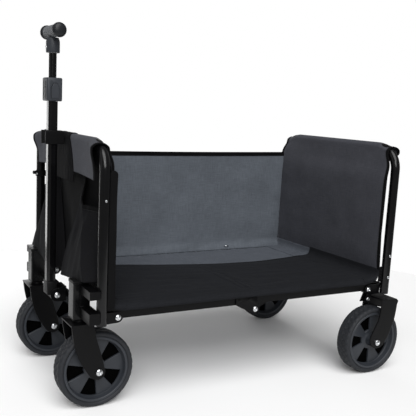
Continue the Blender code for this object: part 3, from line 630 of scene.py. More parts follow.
# heights, radius and dome of the rivets in the posts
postRivets = {"rear": ((0.312, 0.254), 4.0 * mm, 2.2 * mm), "front": ((0.480,), 2.6 * mm, 1.4 * mm)}
tabBolt = {"radius": 5.0 * mm, "height": 3.2 * mm, "back": 1 * mm, "up": 9.5 * mm}
cornerPlate = {"width": 30.5 * mm, "thickness": 2.6 * mm, "inset": 1.5 * mm, "drop": 4.5 * mm,
               "narrow": 0.59, "start": 8 * mm, "end": 2 * mm, "steps": 10}
for side, way in sides:
    for end, postX in (("rear", rearX), ("front", frontX)):
        heights, radius, dome = postRivets[end]
        for i, z in enumerate(heights):
            rivet(f"{end}_post_rivet_{side}_{i}", (postX, way * (postY + tubeR), z), (0, way, 0), radius,
                  dome, f"{end}_end")
    # the bolt through the tab under the rear rail bracket
    tabLow, tabHigh = boxOf(f"rear_rail_bracket_{side}")
    outer = tabLow[1] if way < 0 else tabHigh[1]
    pinX = middleOf(f"rear_rail_pin_{side}")[0]
    rivet(f"rear_tab_bolt_{side}", (pinX + tabBolt["back"], outer, tabLow[2] + tabBolt["up"]), (0, way, 0),
          tabBolt["radius"], tabBolt["height"], "rear_end")
    # a plate under the fork's top fills the corner between the tab and the post, and widens backward
    plate, count = cornerPlate, cornerPlate["steps"]
    widths = np.linspace(plate["narrow"], 1.0, count)
    plateTop = boxOf(f"rear_{side}_fork")[1][2] - plate["drop"]
    middle = np.column_stack([np.linspace(pinX + plate["start"], rearX + plate["end"], count),
                              np.full(count, outer - way * plate["inset"]),
                              plateTop - plate["width"] * widths / 2])
    loop = roundedLoop(plate["width"], plate["thickness"], 0.3, 24)
    makePiece(f"rear_corner_plate_{side}", [sweep(middle, loop, (0, 0, 1), sizes=widths)], plateCoat,
              "rear_end")
print("fasteners made")


# wheels and tyres
wheelShape = {"rimR": 76.3 * mm, "rimHalf": 20.0 * mm, "webHalf": 7.0 * mm, "windowIn": 26 * mm,
              "windowOut": 66 * mm, "slotIn": 8.0 * mm, "slotOut": 20.5 * mm, "hubR": 14.5 * mm,
              "hubHalf": 31.2 * mm, "boreR": 4.6 * mm, "spokes": 5, "plateHalf": 1.5 * mm,
              "platePast": 3 * mm}
tyreShape = {"outR": 88.9 * mm, "half": 22.0 * mm, "seatR": 76.5 * mm, "lugs": 34, "groove": 1.5 * mm,
             "steps": 340}


def spokeGrid(k, phase):
    # between two windows: straight edges that part as they go outward, with rounded faces fore and aft
    w = wheelShape
    rho = np.linspace(w["windowIn"] - 4 * mm, w["windowOut"] + 5 * mm, 14)[:, None]
    outward = (rho - w["windowIn"]) / (w["windowOut"] - w["windowIn"])
    half = w["slotIn"] + (w["slotOut"] - w["slotIn"]) * outward
    step = 2 * np.pi / w["spokes"]
    first, second = phase + k * step, phase + (k + 1) * step
    angle = np.arctan2(half, rho)
    reach = np.hypot(half, rho)
    loop = roundedLoop(1.0, 2 * w["webHalf"], 0.28, 40)
    share = loop[:, 0] + 0.5
    theta = (first + angle) * (1 - share) + (second - angle) * share
    # the web is a little thicker at the window edges, as the moulded rib there is
    rib = 1 + 0.10 * np.abs(2 * share - 1) ** 6
    return gridOf(reach * np.cos(theta), loop[:, 1] * rib, reach * np.sin(theta))


def wheelGrids(centre, phase):
    # a turned rim and a turned hub with its disc, and the spokes between the windows
    w = wheelShape
    r, h, web, inner = w["rimR"], w["rimHalf"], w["webHalf"], w["windowOut"]
    disc, hub, bore, long = w["windowIn"], w["hubR"], w["boreR"], w["hubHalf"]
    rim = mirrored([(r, -h + 1 * mm), (r - 1 * mm, -h), (inner + 5 * mm, -h),
                    (inner + 4 * mm, -h + 0.8 * mm), (inner + 2.2 * mm, -web - 2 * mm),
                    (inner + 1.2 * mm, -web - 0.6 * mm), (inner, -web + 1 * mm)])
    middle = mirrored([(disc, -web + 1 * mm), (disc - 1 * mm, -web), (hub + 6 * mm, -web),
                       (hub + 1.5 * mm, -web - 3 * mm), (hub, -long + 1 * mm), (hub - 1 * mm, -long),
                       (bore, -long)])
    shells = [turned(rim, (0, 0, 0), "Y", 96), turned(middle, (0, 0, 0), "Y", 64)]
    shells.extend(capped(spokeGrid(k, phase)) for k in range(w["spokes"]))
    return [grid + centre for grid in shells]


def tyreGrid(centre):
    # round the wheel by a D-shaped section; crossing slanted grooves cut the tread into lozenges
    t = tyreShape
    out, half, seat = t["outR"], t["half"], t["seatR"]
    flank = [(seat, half - 3 * mm), (seat + 3 * mm, half - 0.6 * mm), (seat + 6.5 * mm, half),
             (out - 3.2 * mm, half - 1.2 * mm), (out - 0.8 * mm, half - 4 * mm), (out, half - 9 * mm)]
    section = smoothPath([*flank, (out, 0), *[(r, -y) for r, y in flank[::-1]]], 45)
    section = np.concatenate([section, section[:1]])
    a = np.linspace(0, 2 * np.pi, t["steps"] + 1)[:, None]
    r, y = section[:, 0], section[:, 1]
    slant = t["lugs"] / out
    one = np.cos(t["lugs"] * a + slant * y)
    two = np.cos(t["lugs"] * a - slant * y)
    cut = smoothStep(0.80, 0.97, np.maximum(one, two)) * smoothStep(out - 4.5 * mm, out - 1 * mm, r)
    middleGroove = smoothStep(1.6 * mm, 0.6 * mm, np.abs(y)) * (r > out - 1 * mm)
    r = r - t["groove"] * np.maximum(cut, middleGroove)
    return gridOf(r * np.cos(a), y, r * np.sin(a)) + centre


wheelPhase = {"caster": math.radians(41.5), "rear": math.radians(38.0)}
# a near-black thin disc that closes the windows half way through: painted shade standing in for the dark seen
# through the open windows
plateR, plateHalf = wheelShape["windowOut"] + wheelShape["platePast"], wheelShape["plateHalf"]
shadeSheetSection = [(0, -plateHalf), (plateR, -plateHalf), (plateR, plateHalf), (0, plateHalf)]
for kind in ("caster", "rear"):
    for side in ("near", "far"):
        centre = middleOf(f"{kind}_{side}_tyre")
        body = f"{kind}_wheel_{side}"
        makePiece(f"{kind}_{side}_wheel_moulding", wheelGrids(centre, wheelPhase[kind]), wheelPlastic, body,
                  [f"{kind}_{side}_wheel"])
        makePiece(f"{kind}_{side}_wheel_window_shade", [turned(shadeSheetSection, centre, "Y", 64)], windowShadeSheet, body)
        makePiece(f"{kind}_{side}_tyre_tread", [tyreGrid(centre)], tyreRubber, body,
                  [f"{kind}_{side}_tyre"], smooth=50)
print("wheels made")


# pull handle
handleX = middleOf("handle_inner_tube")[0]
gripShape = {"bodyR": 13.2 * mm, "bodyHalf": 38 * mm, "knobR": 16.5 * mm, "knobHalf": 10.5 * mm, "ribs": 7,
             "rib": 0.9 * mm}
tubeEnd = {"radius": 9 * mm, "chamfer": 1 * mm}
low, high = boxOf("handle_inner_tube")
r, c = tubeEnd["radius"], tubeEnd["chamfer"]
tubeProfile = [(0, low[2]), (r - c, low[2]), (r, low[2] + c), (r, high[2]), (0, high[2])]
makePiece("handle_inner_tube_round", [turned(tubeProfile, (handleX, 0, 0), "Z", 40)], blackCoat,
          "handle_upper", ["handle_inner_tube"])
nodes["handle_outer_tube"].data.materials.clear()
nodes["handle_outer_tube"].data.materials.append(blackCoat)

low, high = boxOf("grip")
gripZ, gripHalf = (low[2] + high[2]) / 2, (high[1] - low[1]) / 2
g = gripShape
# from the middle outward: ribbed body, a groove, then a ball-shaped end knob
bodyHalf, knobHalf = g["bodyHalf"], g["knobHalf"]
bodyY = np.linspace(-bodyHalf, bodyHalf, 141)
ribs = g["bodyR"] + g["rib"] * (np.cos(2 * np.pi * bodyY / (2 * bodyHalf / g["ribs"])) > -0.35)
sleeve = np.concatenate([[(0, -bodyHalf)], np.column_stack([ribs, bodyY]), [(0, bodyHalf)]])
makePiece("grip_sleeve", [turned(sleeve, (handleX, 0, gripZ), "Y", 48)], gripRubber, "handle_upper",
          ["grip"])
for side, way in sides:
    a = np.radians(np.linspace(-90, 90, 25))
    ball = np.column_stack([g["knobR"] * np.cos(a) ** 0.72,
                            way * (gripHalf - knobHalf + knobHalf * np.sin(a))])
    knob = turned(ball, (handleX, 0, gripZ), "Y", 48)
    makePiece(f"grip_knob_{side}", [knob], knobPlastic, "handle_upper")

low, high = boxOf("grip_socket")
r, foot, top = (high[0] - low[0]) / 2, low[2], high[2]
socket = [(0, foot + 1.2 * mm), (9.1 * mm, foot + 1.2 * mm), (r - 1.4 * mm, foot + 0.2 * mm),
          (r - 0.4 * mm, foot + 0.6 * mm), (r, foot + 2 * mm), (r, foot + 24 * mm),
          (r - 0.5 * mm, foot + 27 * mm), (r - 2 * mm, top - 2 * mm), (r - 3 * mm, top), (0, top + 1 * mm)]
makePiece("grip_socket_moulding", [turned(socket, (handleX, 0, 0), "Z", 48)], handlePlastic, "handle_upper",
          ["grip_socket"])
rivet("grip_socket_rivet", (handleX - r, 0, foot + 12 * mm), (-1, 0, 0), 3.4 * mm, 1.6 * mm, "handle_upper")

eased("lock_collar", 1.0 * mm, handlePlastic)
eased("lock_button", 0.8 * mm, handlePlastic)
eased("handle_foot", 1.0 * mm, blackPlastic)
eased("handle_clip", 1.0 * mm, blackPlastic)


def ribRow(name, centres, size, material, body):
    # a row of small rounded bars, each a superellipse loop carried a short way with its ends drawn in
    shells = []
    for c in centres:
        path = np.linspace(np.array(c) - (0, size[1] / 2, 0), np.array(c) + (0, size[1] / 2, 0), 6)
        shells.append(sweep(path, roundedLoop(size[0], size[2], 0.6, 12), (1, 0, 0), True,
                            (0.7, 1, 1, 1, 1, 0.7)))
    return makePiece(name, shells, material, body)


low, high = boxOf("handle_foot")
# a light ribbed pad covers the front face of the foot
footRibs = [(low[0] + 0.1 * mm, 0, z) for z in np.linspace(high[2] - 27 * mm, high[2] - 4 * mm, 7)]
ribRow("handle_foot_ribs", footRibs, (2.2 * mm, 30 * mm, 1.9 * mm), knobPlastic, "handle_lower")
# small ribs on the two finger tabs of the clip
low, high = boxOf("handle_clip")
for side, y in (("near", low[1] + 2.5 * mm), ("far", high[1] - 2.5 * mm)):
    tabRibs = [(low[0] + 0.4 * mm, y, z) for z in np.linspace(low[2] + 4 * mm, high[2] - 4 * mm, 7)]
    ribRow(f"handle_clip_ribs_{side}", tabRibs, (2.0 * mm, 4.2 * mm, 1.8 * mm), knobPlastic, "front_end")
# two dark upright channels on the front face of the collar
channel = {"apart": 15 * mm, "margin": 5 * mm, "depth": 1.6 * mm, "width": 3.6 * mm,
           "sizes": (0.8, 1, 1, 1, 1, 1, 1, 0.8)}
low, high = boxOf("lock_collar")
count = len(channel["sizes"])
channelZ = np.linspace(low[2] + channel["margin"], high[2] - channel["margin"], count)
loop = roundedLoop(channel["depth"], channel["width"], 0.5, 16)
for i, way in enumerate((-1, 1)):
    path = np.column_stack([np.full(count, low[0]), np.full(count, way * channel["apart"] / 2), channelZ])
    makePiece(f"lock_collar_channel_{i}", [sweep(path, loop, (1, 0, 0), True, channel["sizes"])],
              blackPlastic, "handle_lower")
print("pull handle made")


# end walls
wall = {"barR": tubeR + 1.1 * mm, "flapZ": 0.525, "bottomZ": 0.262, "rows": 150, "cols": 150,
        "cloth": 1.4 * mm, "endHalf": 0.222, "bodyHalf": 0.2365}


def wallProfile(bottom, belly, flapZ, barR, skin):
    # inboard of the frame from the foot up, once over the bar and down outside to the flap's hem
    over = arcPoints((0, barZ), barR + skin, 10, 172, 9)
    line = [(bottom, wall["bottomZ"]), (belly - 1 * mm, 0.31), (belly, 0.37), (belly, 0.45),
            (belly - 0.5 * mm, 0.51), (barR + 5.5 * mm, 0.553), (barR + 1.2 * mm + skin, 0.580),
            *over.tolist(),
            (-barR - skin, 0.574), (-barR - skin - 0.3 * mm, 0.55), (-barR - skin - 1 * mm, flapZ)]
    return smoothPath(line, wall["rows"])


def wallGrid(profile, barX, inward, seed, flapHalf, hemDrop=0.0):
    # columns run across the wagon; the sleeve opens like a bell where the bar bends down
    u, z = profile[:, 0], profile[:, 1]
    outside = smoothStep(0.0, -8 * mm, u)
    high = smoothStep(0.545, 0.592, z)
    half = wall["bodyHalf"] * (1 - high) + wall["endHalf"] * high
    half = half + outside * (1 - high) * (flapHalf - wall["bodyHalf"])
    v = np.linspace(-1, 1, wall["cols"])
    y = half[:, None] * v
    bell = smoothStep(0.172, wall["endHalf"], np.abs(y)) * smoothStep(0.53, 0.59, z)[:, None]
    uu = u[:, None] * (1 + 0.55 * bell) - 5 * mm * bell
    zz = z[:, None] - (9.5 * mm * bell) * smoothStep(0.55, 0.60, z)[:, None]
    free = smoothStep(0, 0.12, 1 - np.abs(v))[None] * (1 - 0.8 * high[:, None])
    shape = (len(u), len(v))
    wave = ripple(seed, shape, (30, 16), 1.2 * mm) + ripple(seed + 1, shape, (11, 60), 0.7 * mm)
    # hanging cloth bows a little between its two edges
    bow = 1.6 * mm * np.cos(v * np.pi / 2)[None] * smoothStep(0.26, 0.34, z)[:, None] * (1 - high[:, None])
    zz = zz - hemDrop * (y / half.max()) ** 2 * (outside * smoothStep(0.56, 0.525, z))[:, None]
    uu = uu + free * wave * (1 - 0.5 * outside[:, None]) - bow * (1 - outside[:, None])
    return gridOf(barX + inward * uu, y, zz)


def clothPiece(name, grid, material, body, replaces=()):
    piece = makePiece(name, [grid], material, body, replaces, smooth=180)
    thicken(piece, wall["cloth"])
    return piece


def trimPieces(prefix, grid, edges, body, width=9 * mm, thickness=3.2 * mm, thread=True):
    # black tape folded over the named edges, with stitches along its inner border on both faces
    tapes = [bindingGrid(edgeOf(grid, s), width, thickness, 0.8 * mm) for s in edges]
    made = [makePiece(prefix + "_binding", tapes, blackTape, body, smooth=180)]
    if thread:
        rows = []
        for s in edges:
            edge = edgeOf(grid, s)
            for way in (1, -1):
                face = (edge[0], edge[1], way * edge[2])
                rows.extend(stitchGrids(face, width - 2.6 * mm, thickness / 2))
        made.append(makePiece(prefix + "_stitching", rows, threadFinish, body, smooth=180))
    return made


endWalls = (("front", frontX, 1, 17 * mm, 22.5 * mm, "front_end", 11, 0.215),
            ("rear", rearX, -1, 20.5 * mm, 27.0 * mm, "rear_end", 23, 0.190))
wallGrids = {}
for name, barX, inward, bottom, belly, body, seed, flapHalf in endWalls:
    profile = wallProfile(bottom, belly, wall["flapZ"], wall["barR"], 0.0)
    grid = wallGrid(profile, barX, inward, seed, flapHalf, 8 * mm)
    wallGrids[name] = grid
    trims = trimPieces(f"{name}_lining", grid, ("left", "right", "first"), body)
    lining = flapCloth if name == "front" else charcoalCloth
    clothPiece(f"{name}_wall_lining", grid, lining, body,
               [f"{name}_wall"])
print("end walls made")

# a stiffened hem stands along the near edge of the front wall, with a rounded top
hem = {"low": 0.2405, "high": 0.5426, "width": 17.5 * mm, "thickness": 5.0 * mm, "inner": 10 * mm,
       "round": 9 * mm, "past": 5 * mm}
z = np.linspace(hem["low"], hem["high"], 80)
# each level is a flat rounded loop, narrowed as a circle toward the top, on a line that sways by two sines
inTop = np.clip(z - (hem["high"] - hem["round"]), 0, None) / hem["round"]
taper = np.sqrt(np.clip(1 - inTop ** 2, 0.04, 1))
loop = roundedLoop(1.0, hem["thickness"], 0.5, 28)
sway = 1.2 * mm * np.sin((z - hem["low"]) * 21) + 0.8 * mm * np.sin((z - hem["low"]) * 47)
x = frontX + hem["inner"] + hem["width"] * (0.5 + loop[None, :, 0] * taper[:, None])
y = loop[None, :, 1] - (wall["bodyHalf"] + hem["past"] + sway[:, None])
piece = makePiece("front_wall_side_hem_near", [capped(gridOf(x, y, z[:, None]))], blackCloth, "front_end",
                  smooth=180)

# the black outer layer of each wall, behind the flap and the pockets
shell = {"rows": 90, "cols": 120, "topZ": 0.578}
for name, barX, inward, bottom, belly, body, seed, flapHalf in endWalls:
    z = np.linspace(wall["bottomZ"] - 4 * mm, shell["topZ"], shell["rows"])
    v = np.linspace(-1, 1, shell["cols"])
    u = np.interp(z, (wall["bottomZ"], 0.37, 0.52, shell["topZ"]),
                  (bottom - 5 * mm, belly - 11.5 * mm, belly - 13 * mm, 4 * mm))
    side = smoothStep(0.55, 1.0, np.abs(v))
    wave = ripple(seed + 5, (len(z), len(v)), (18, 10), 1.2 * mm)
    u = np.minimum(u[:, None] + wave * smoothStep(0, 0.1, 1 - np.abs(v)), belly - 4 * mm)
    u = u + side * np.interp(z, (wall["bottomZ"], 0.37, 0.55), (3 * mm, 9 * mm, 8 * mm))[:, None]
    half = wall["bodyHalf"] - 1.5 * mm - 16 * mm * smoothStep(0.54, 0.578, z)
    grid = gridOf(barX + inward * u, half[:, None] * v, z[:, None])
    clothPiece(f"{name}_wall_shell", grid, blackCloth, body)

# a gathered tab of cloth ties each foot corner of a wall to its post
tab = {"low": 0.2385, "high": 0.279, "past": 1 * mm, "rows": 30, "cols": 24}
for name, barX, inward, bottom, belly, body, seed, flapHalf in endWalls:
    for side, way in sides:
        s, t = np.linspace(0, 1, tab["cols"])[None], np.linspace(0, 1, tab["rows"])[:, None]
        start, end = barX + inward * (bottom + 3 * mm), barX + inward * (tubeR - tab["past"])
        z = tab["low"] + (tab["high"] - tab["low"]) * t + 3 * mm * np.sin(np.pi * s)
        pleats = 1.3 * mm * np.sin(34 * t + 3 * s) * np.sin(np.pi * s) ** 0.5
        y = way * (wall["bodyHalf"] + 0.5 * mm + pleats)
        grid = gridOf(start + (end - start) * s, y, z)
        clothPiece(f"{name}_corner_tab_{side}", grid, blackCloth, body)

# a webbing loop with a screw holds the wall to the far front post
tie = {"z": 0.4855, "width": 15 * mm, "thickness": 2.2 * mm, "knobR": 4.6 * mm, "knobLength": 9 * mm}
loopR = tubeR + tie["thickness"] / 2 + 0.2 * mm
strap = roundedLoop(tie["thickness"], tie["width"], 0.5, 24)
tail = np.linspace((frontX + loopR * 0.8, postY - 7 * mm, tie["z"]),
                   (frontX + 21 * mm, postY - 12 * mm, tie["z"]), 12)
for name, grid in (("loop", turned(strap + (loopR, 0), (frontX, postY, tie["z"]), "Z", 48)),
                   ("tail", sweep(tail, strap, (0, 1, 0)))):
    makePiece(f"front_far_tie_{name}", [grid], blackTape, "front_end", smooth=180)
r, long = tie["knobR"], tie["knobLength"]
knobProfile = [(0, 0), (r * 0.7, 0), (r, -1.2 * mm), (r, 1.5 * mm - long), (r * 0.75, -long), (0, -long)]
knobPlace = (frontX - tubeR - 1 * mm, postY, tie["z"] + 2 * mm)
makePiece("front_far_tie_knob", [turned(knobProfile, knobPlace, "X", 28)], blackPlastic, "front_end")
rivet("front_far_tie_rivet", (frontX - tubeR - 0.6 * mm, postY - 6 * mm, tie["z"] - 1.5 * mm), (-1, 0, 0),
      3.4 * mm, 2.0 * mm, "front_end")

# black band over the middle of the front bar, wider toward its hem
band = {"topHalf": 0.036, "hemHalf": 0.080, "hemZ": 0.500, "lift": 1.6 * mm}
profile = wallProfile(17 * mm, 22.5 * mm, band["hemZ"], wall["barR"], band["lift"])
start = int(np.argmax(profile[:, 1] > 0.585))
profile = smoothPath(profile[start:], 70)
u, z = profile[:, 0], profile[:, 1]
drop = np.clip((0.605 - z) / 0.085, 0, 1) * (u < 0)
half = band["topHalf"] + (band["hemHalf"] - band["topHalf"]) * drop ** 0.6
v = np.linspace(-1, 1, 90)
wave = ripple(41, (len(z), len(v)), (14, 12), 0.7 * mm) * smoothStep(0.60, 0.56, z)[:, None]
grid = gridOf(frontX + u[:, None] - np.abs(wave), half[:, None] * v, z[:, None])
bandTrim = trimPieces("front_band", grid, ("left", "right"), "front_end", 6 * mm, 2.4 * mm, False)
clothPiece("front_bar_band", grid, blackCloth, "front_end",
           ())
print("wall layers made")


# pockets on the front wall
pocket = {"innerTop": 0.098, "innerFoot": 0.028, "outer": 0.2250, "hemZ": 0.457, "cornerZ": 0.512,
          "footZ": 0.276, "footRise": 26 * mm, "mouth": 22 * mm, "reach": 40 * mm, "back": 8.5 * mm}


def pocketGrid(way, seed):
    # v runs from the inner edge to the outer one and t from the mouth to the foot: the pouch rises from
    # its inner edge to a crease that slants down to the outer corner of the foot, and falls back beyond
    face, fold = 84, 10
    t = np.concatenate([np.linspace(0, 1, face), np.ones(fold)])[:, None]
    turn = np.concatenate([np.zeros(face), np.linspace(9, 86, fold)])[:, None]
    v = np.linspace(0, 1, 130)[None]
    inner = pocket["innerTop"] + (pocket["innerFoot"] - pocket["innerTop"]) * t ** 0.9
    y = inner + (pocket["outer"] - inner) * v
    top = pocket["hemZ"] + (pocket["cornerZ"] - pocket["hemZ"]) * (1 - smoothStep(0.0, 0.36, v))
    z = top + (pocket["footZ"] + pocket["footRise"] * v - top) * t - 5 * mm * np.sin(np.radians(turn))
    crease = 0.36 + 0.53 * t
    rise = smoothStep(0, 0.14 + 0.16 * (1 - t), v)
    fall = np.clip((1 - v) / (1 - crease), 0, 3) ** 1.6
    # the lower of the two with a rounded crease: the logarithm of summed exponentials
    sharp = 16
    ridge = -np.log(np.exp(-sharp * rise) + np.exp(-sharp * fall)) / sharp + math.log(2) / sharp * rise * fall
    crest = pocket["mouth"] + (pocket["reach"] - pocket["mouth"]) * smoothStep(0, 1, t)
    creases = (ripple(seed, ridge.shape, (34, 12), 1.6 * mm)
               + ripple(seed + 1, ridge.shape, (12, 34), 1.1 * mm))
    edge = smoothStep(0, 0.08, v) * smoothStep(1, 0.92, v)
    stand = (crest * np.clip(ridge, 0, 1) + creases * edge) * np.cos(np.radians(turn))
    x = frontX + pocket["back"] - np.maximum(stand, 0.8 * mm)
    return gridOf(x, way * y, z)


for side, way, seed in (("near", -1, 51), ("far", 1, 57)):
    grid = pocketGrid(way, seed)
    trims = trimPieces(f"front_pocket_hem_{side}", grid, ("first",), "front_end", 12 * mm, 3.0 * mm)
    clothPiece(f"front_pocket_pouch_{side}", grid, pouchCloth, "front_end",
               [f"front_pocket_{side}"])
print("pockets made")


# floor and side panels
sidePanel = {"cols": 220, "rows": 90, "bow": 3.0 * mm}
low, high = boxOf("far_side_panel")
x = np.linspace(low[0] - 6 * mm, high[0] + 5 * mm, sidePanel["cols"])
t = np.linspace(0, 1, sidePanel["rows"])
z = low[2] + (high[2] - 1 * mm - low[2]) * t
y0 = (low[1] + high[1]) / 2
s = (x - x[0]) / (x[-1] - x[0])
shape = (len(t), len(s))
wave = (ripple(71, shape, (40, 14), 1.5 * mm) + ripple(72, shape, (14, 40), 0.8 * mm)
        + ripple(73, shape, (70, 8), 0.7 * mm)
        + ripple(74, shape, (36, 22), 3.2 * mm) * smoothStep(0.7, 0.1, t)[:, None]
        + ripple(75, shape, (9, 17), 1.6 * mm) * smoothStep(0.22, 0.04, t)[:, None])
pinned = smoothStep(0, 0.07, t)[:, None] * smoothStep(0, 0.04, 1 - t)[:, None]
y = y0 + sidePanel["bow"] * np.sin(np.pi * t)[:, None] * np.sin(np.pi * s) + wave * pinned
y = y - 5 * mm * smoothStep(0.10, 0.0, t)[:, None]
sag = 2.0 * mm * np.sin(np.pi * s) * smoothStep(0.8, 1.0, t)[:, None]
grid = gridOf(x, y, z[:, None] - sag)
trims = trimPieces("far_side_panel", grid, ("last",), None, 13 * mm, 3.4 * mm)
# the far panel takes the lighter copy of the slate cloth: painted light
panel = makePiece("far_side_panel_cloth", [grid], litSlateCloth, None, ["far_side_panel"],
                  smooth=180)
thicken(panel, 1.8 * mm)
# a wire ring on the panel's foot, lying against the cloth
wireRing = {"radius": 7.5 * mm, "wire": 2.2 * mm, "x": 0.199, "up": 9 * mm, "off": 3.5 * mm}
ringR, a = wireRing["radius"], np.linspace(0, 2 * np.pi, 49)
ringY = float(np.interp(wireRing["x"], x, grid[5, :, 1])) - wireRing["off"]
ringPath = np.column_stack([wireRing["x"] + ringR * np.cos(a), ringY - 0.55 * ringR * np.sin(a),
                            low[2] + wireRing["up"] + 0.6 * ringR * np.sin(a)])
wire = roundedLoop(wireRing["wire"], wireRing["wire"], 1.0, 12)
ring = makePiece("far_panel_ring", [sweep(ringPath, wire, (0, -0.6, -0.55), closeEnds=False)], zincPlate,
                 None, smooth=180)
for piece in (panel, ring, *trims):
    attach(piece, "front_end")
    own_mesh(piece)
print("far side panel made")

# the floor: two boards in one cloth cover, with its rows close together about the middle hinge
floor = {"round": 2.2 * mm, "pucker": 1.3 * mm, "puckerLow": -0.3 * mm, "dip": 1.0 * mm, "dipHalf": 3 * mm}
bendStart, bendEnd = middleX - 22 * mm, middleX + 22 * mm


def slabGrid(xs, ys, bottom, top, roundness):
    # top and bottom faces joined by half-round edges on the long sides; the two ends are drawn to a seam
    a = np.radians(np.linspace(90, -90, 9))
    middle, half = (bottom + top) / 2, (top - bottom) / 2
    side = np.column_stack([roundness * np.cos(a), half * np.sin(a)])
    low, high = ys[0] + roundness, ys[-1] - roundness
    line = np.concatenate([np.column_stack([np.linspace(low, high, 60), np.full(60, top)]),
                           np.column_stack([high + side[1:-1, 0], middle + side[1:-1, 1]]),
                           np.column_stack([np.linspace(high, low, 60), np.full(60, bottom)]),
                           np.column_stack([low - side[1:-1, 0][::-1], middle + side[1:-1, 1][::-1]])])
    line = np.concatenate([line, line[:1]])
    fromEnd = np.clip(np.minimum(xs - xs[0], xs[-1] - xs) / roundness, 0, 1)
    shrink = np.sqrt(1 - (1 - fromEnd) ** 2)
    zz = middle + (line[:, 1] - middle)[None] * shrink[:, None]
    return gridOf(xs[:, None], line[:, 0], zz)


hingeXs = np.linspace(bendStart, bendEnd, 40)
endXs = floor["round"] * (1 - np.cos(np.linspace(0, np.pi / 2, 6)))
xs = np.unique(np.concatenate([np.linspace(floorLow[0], floorHigh[0], 160), hingeXs,
                               floorLow[0] + endXs, floorHigh[0] - endXs]))
grid = slabGrid(xs, (floorLow[1], floorHigh[1]), floorLow[2], floorHigh[2], floor["round"])
onTop = grid[:, :, 2] > middleOf("front_floor_board")[2]
# the cover dips where the two boards meet
dip = floor["dip"] * np.exp(-((xs - middleX) / floor["dipHalf"]) ** 2)
grid[:, :, 2] -= dip[:, None] * onTop
# and puckers along its far edge, by the foot of the raised panel
puckers = ripple(77, grid.shape[:2], (4, 5), floor["pucker"]) * smoothStep(0.05, 0.19, grid[:, :, 1])
grid[:, :, 2] += np.maximum(puckers, floor["puckerLow"]) * onTop
# the cover takes the darker copy of the slate cloth: painted shade
cover = makePiece("floor_cover", [grid], shadedSlateCloth, None,
                  ["front_floor_board", "rear_floor_board"], smooth=60)
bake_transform(cover)

# the near side panel lies folded on the floor; its far edge is slack and curves
foldedPanel = {"past": 2 * mm, "nearY": -0.2362, "rows": 110, "lift": 2.4 * mm, "turnDown": 11 * mm,
               "edge": [(-0.222, 0.1120), (-0.10, 0.078), (0.0435, 0.045), (0.1775, 0.034), (0.2765, 0.045)]}
panelStart, panelEnd = foldedLow[0] - foldedPanel["past"], foldedHigh[0] + foldedPanel["past"]
farEdge = smoothPath([(panelStart, 0.105), *foldedPanel["edge"], (panelEnd, 0.062)], 300)
xs = np.unique(np.concatenate([np.linspace(panelStart, panelEnd, 200), hingeXs]))
edgeY, nearY = np.interp(xs, farEdge[:, 0], farEdge[:, 1])[:, None], foldedPanel["nearY"]
t = np.linspace(0, 1, foldedPanel["rows"])
y = nearY + (edgeY - nearY) * t
shape = y.shape
wave = np.abs(ripple(81, shape, (18, 16), 2.4 * mm)) + np.abs(ripple(82, shape, (40, 7), 1.4 * mm))
# along the near edge the panel turns down over the rail, and its far edge lies flat
turnDown = smoothStep(0.020, 0.0, t)[None]
z = foldedLow[2] + foldedPanel["lift"] + wave * (smoothStep(0, 0.10, t) * smoothStep(0, 0.06, 1 - t))[None]
z = z + 1.2 * mm * (1 - turnDown) - foldedPanel["turnDown"] * turnDown
y = y - 1.5 * mm * smoothStep(0.05, 0.0, t)[None]
grid = gridOf(xs[:, None], y, z)
trims = trimPieces("near_side_panel", grid, ("right",), None, 9 * mm, 3.0 * mm)
nearPanel = makePiece("near_side_panel_cloth", [grid], panelCloth, None,
                      ["front_near_panel", "rear_near_panel"], smooth=180)
thicken(nearPanel, 2.0 * mm)
for piece in (nearPanel, *trims):
    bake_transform(piece)

# strips of cloth join each end of the floor to the foot of its wall, black by the folded panel and
# slate beyond it, with their outer edges turned down over the brackets: each follows a curve from the
# floor up the wall
joins = {"front": (foldedLow[0] + 6 * mm, -1, "front_end", "front_floor", 91, 0.102),
         "rear": (foldedHigh[0] - 6 * mm, 1, "rear_end", "rear_floor", 93, 0.058)}
for name, (startX, way, end, part, seed, edgeY) in joins.items():
    endX = float(wallGrids[name][0][:, 0].mean()) - way * 2.5 * mm
    # the slate strips take the floor's darker copy of the slate cloth: painted shade
    for shade, cloth, slot, yLow, yHigh, base in (
            ("black", panelCloth, "black_fabric", -0.2375, edgeY, foldedHigh[2]),
            ("slate", shadedSlateCloth, "grey_fabric", edgeY - 6 * mm, 0.2375, floorHigh[2] + 0.4 * mm)):
        run = smoothPath([(startX, base + 0.6 * mm), (startX + way * 12 * mm, base + 1.0 * mm),
                          (endX - way * 10 * mm, base + 4 * mm), (endX - way * 2 * mm, base + 13 * mm),
                          (endX, base + 26 * mm)], 40)
        y = np.linspace(yLow, yHigh, 120)
        t = np.linspace(0, 1, 40)[:, None]
        wave = ripple(seed, (40, 120), (14, 9), 1.0 * mm) * np.sin(np.pi * t)
        turnDown = 15 * mm * smoothStep(0.2335, 0.2375, np.abs(y)) * (1 - 0.6 * t)
        grid = gridOf(run[:, :1], y, run[:, 1:] + wave - turnDown)
        strip = makePiece(f"{name}_floor_join_{shade}", [grid], cloth, None, smooth=180)
        thicken(strip, 1.4 * mm)
        if way < 0:
            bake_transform(strip)
        else:
            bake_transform(strip)
print("floor made")


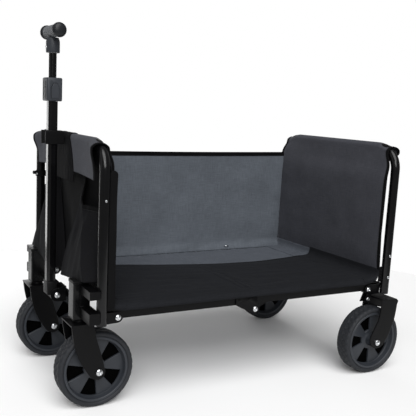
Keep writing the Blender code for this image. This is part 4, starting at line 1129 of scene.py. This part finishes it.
# camera, floor and lights
view = {"place": (-0.8963, -1.5646, 0.6862), "yaw": -0.4839, "pitch": 0.1665, "roll": 0.0444, "lens": 59.33,
        "shift": (0.0622, 0.0259)}
cameraData = bpy.data.cameras.new("camera")
cameraData.sensor_width = 36
cameraData.lens = view["lens"]
cameraData.shift_x, cameraData.shift_y = view["shift"]
camera = addObject("camera", cameraData)
yaw, pitch, roll = view["yaw"], view["pitch"], view["roll"]
ahead = Vector((-math.sin(yaw) * math.cos(pitch), math.cos(yaw) * math.cos(pitch), -math.sin(pitch)))
right = ahead.cross(Vector((0, 0, 1))).normalized()
up = right.cross(ahead)
rolledRight = right * math.cos(roll) + up * math.sin(roll)
rolledUp = up * math.cos(roll) - right * math.sin(roll)
axes = np.eye(4)
axes[:3, 0], axes[:3, 1], axes[:3, 2], axes[:3, 3] = rolledRight, rolledUp, -ahead, view["place"]
camera.matrix_world = Matrix(axes.tolist())
bpy.context.scene.camera = camera

groundMaterial, _, _ = newMaterial("paleStudioFloor", "#F4F4F4", Roughness=0.9, Specular_IOR_Level=0.1)
ground = makePiece("ground", [turned([(0, 0), (1.45, 0)], (0, 0, 0), "Z", 96)], groundMaterial)

world = bpy.data.worlds.new("studio")
bpy.context.scene.world = world
world.use_nodes = True
sky = world.node_tree.nodes["Background"]
sky.inputs["Color"].default_value = (1, 1, 1, 1)
# the backdrop is white to look at, and dimmer as a light
rays = addNode(world.node_tree, "LightPath")
dim = addNode(world.node_tree, "MapRange", {"Value": rays.outputs["Is Camera Ray"]}, To_Min=0.22, To_Max=1.0)
world.node_tree.links.new(dim.outputs["Result"], sky.inputs["Strength"])
bpy.context.scene.view_settings.view_transform = "Standard"


def softBox(name, place, target, size, power):
    data = bpy.data.lights.new(name, "AREA")
    data.shape = "RECTANGLE"
    data.size, data.size_y = size
    data.energy = power
    lamp = addObject(name, data)
    lamp.location = place
    lamp.visible_camera = False
    lamp.rotation_euler = (Vector(target) - Vector(place)).to_track_quat("-Z", "Y").to_euler()


def sunBox(name, place, strength, spread):
    data = bpy.data.lights.new(name, "SUN")
    data.energy = strength
    data.angle = math.radians(spread)
    lamp = addObject(name, data)
    lamp.rotation_euler = (-Vector(place)).to_track_quat("-Z", "Y").to_euler()


sunBox("ceilingBox", (-0.35, -0.9, 1.35), 2.6, 50)
softBox("frontBox", (-1.5, -3.5, 2.1), (0, 0, 0.3), (2.4, 1.4), 62)
softBox("leftBox", (-3.4, 0.1, 1.6), (0, 0, 0.4), (1.2, 2.6), 4)
softBox("backBox", (0.9, 3.2, 0.7), (0, 0, 0.4), (2.2, 1.4), 26)
softBox("stripBox", (-0.95, 1.50, 0.55), (-0.43, 0, 0.45), (0.28, 1.1), 3.5)
print("camera and lights made")
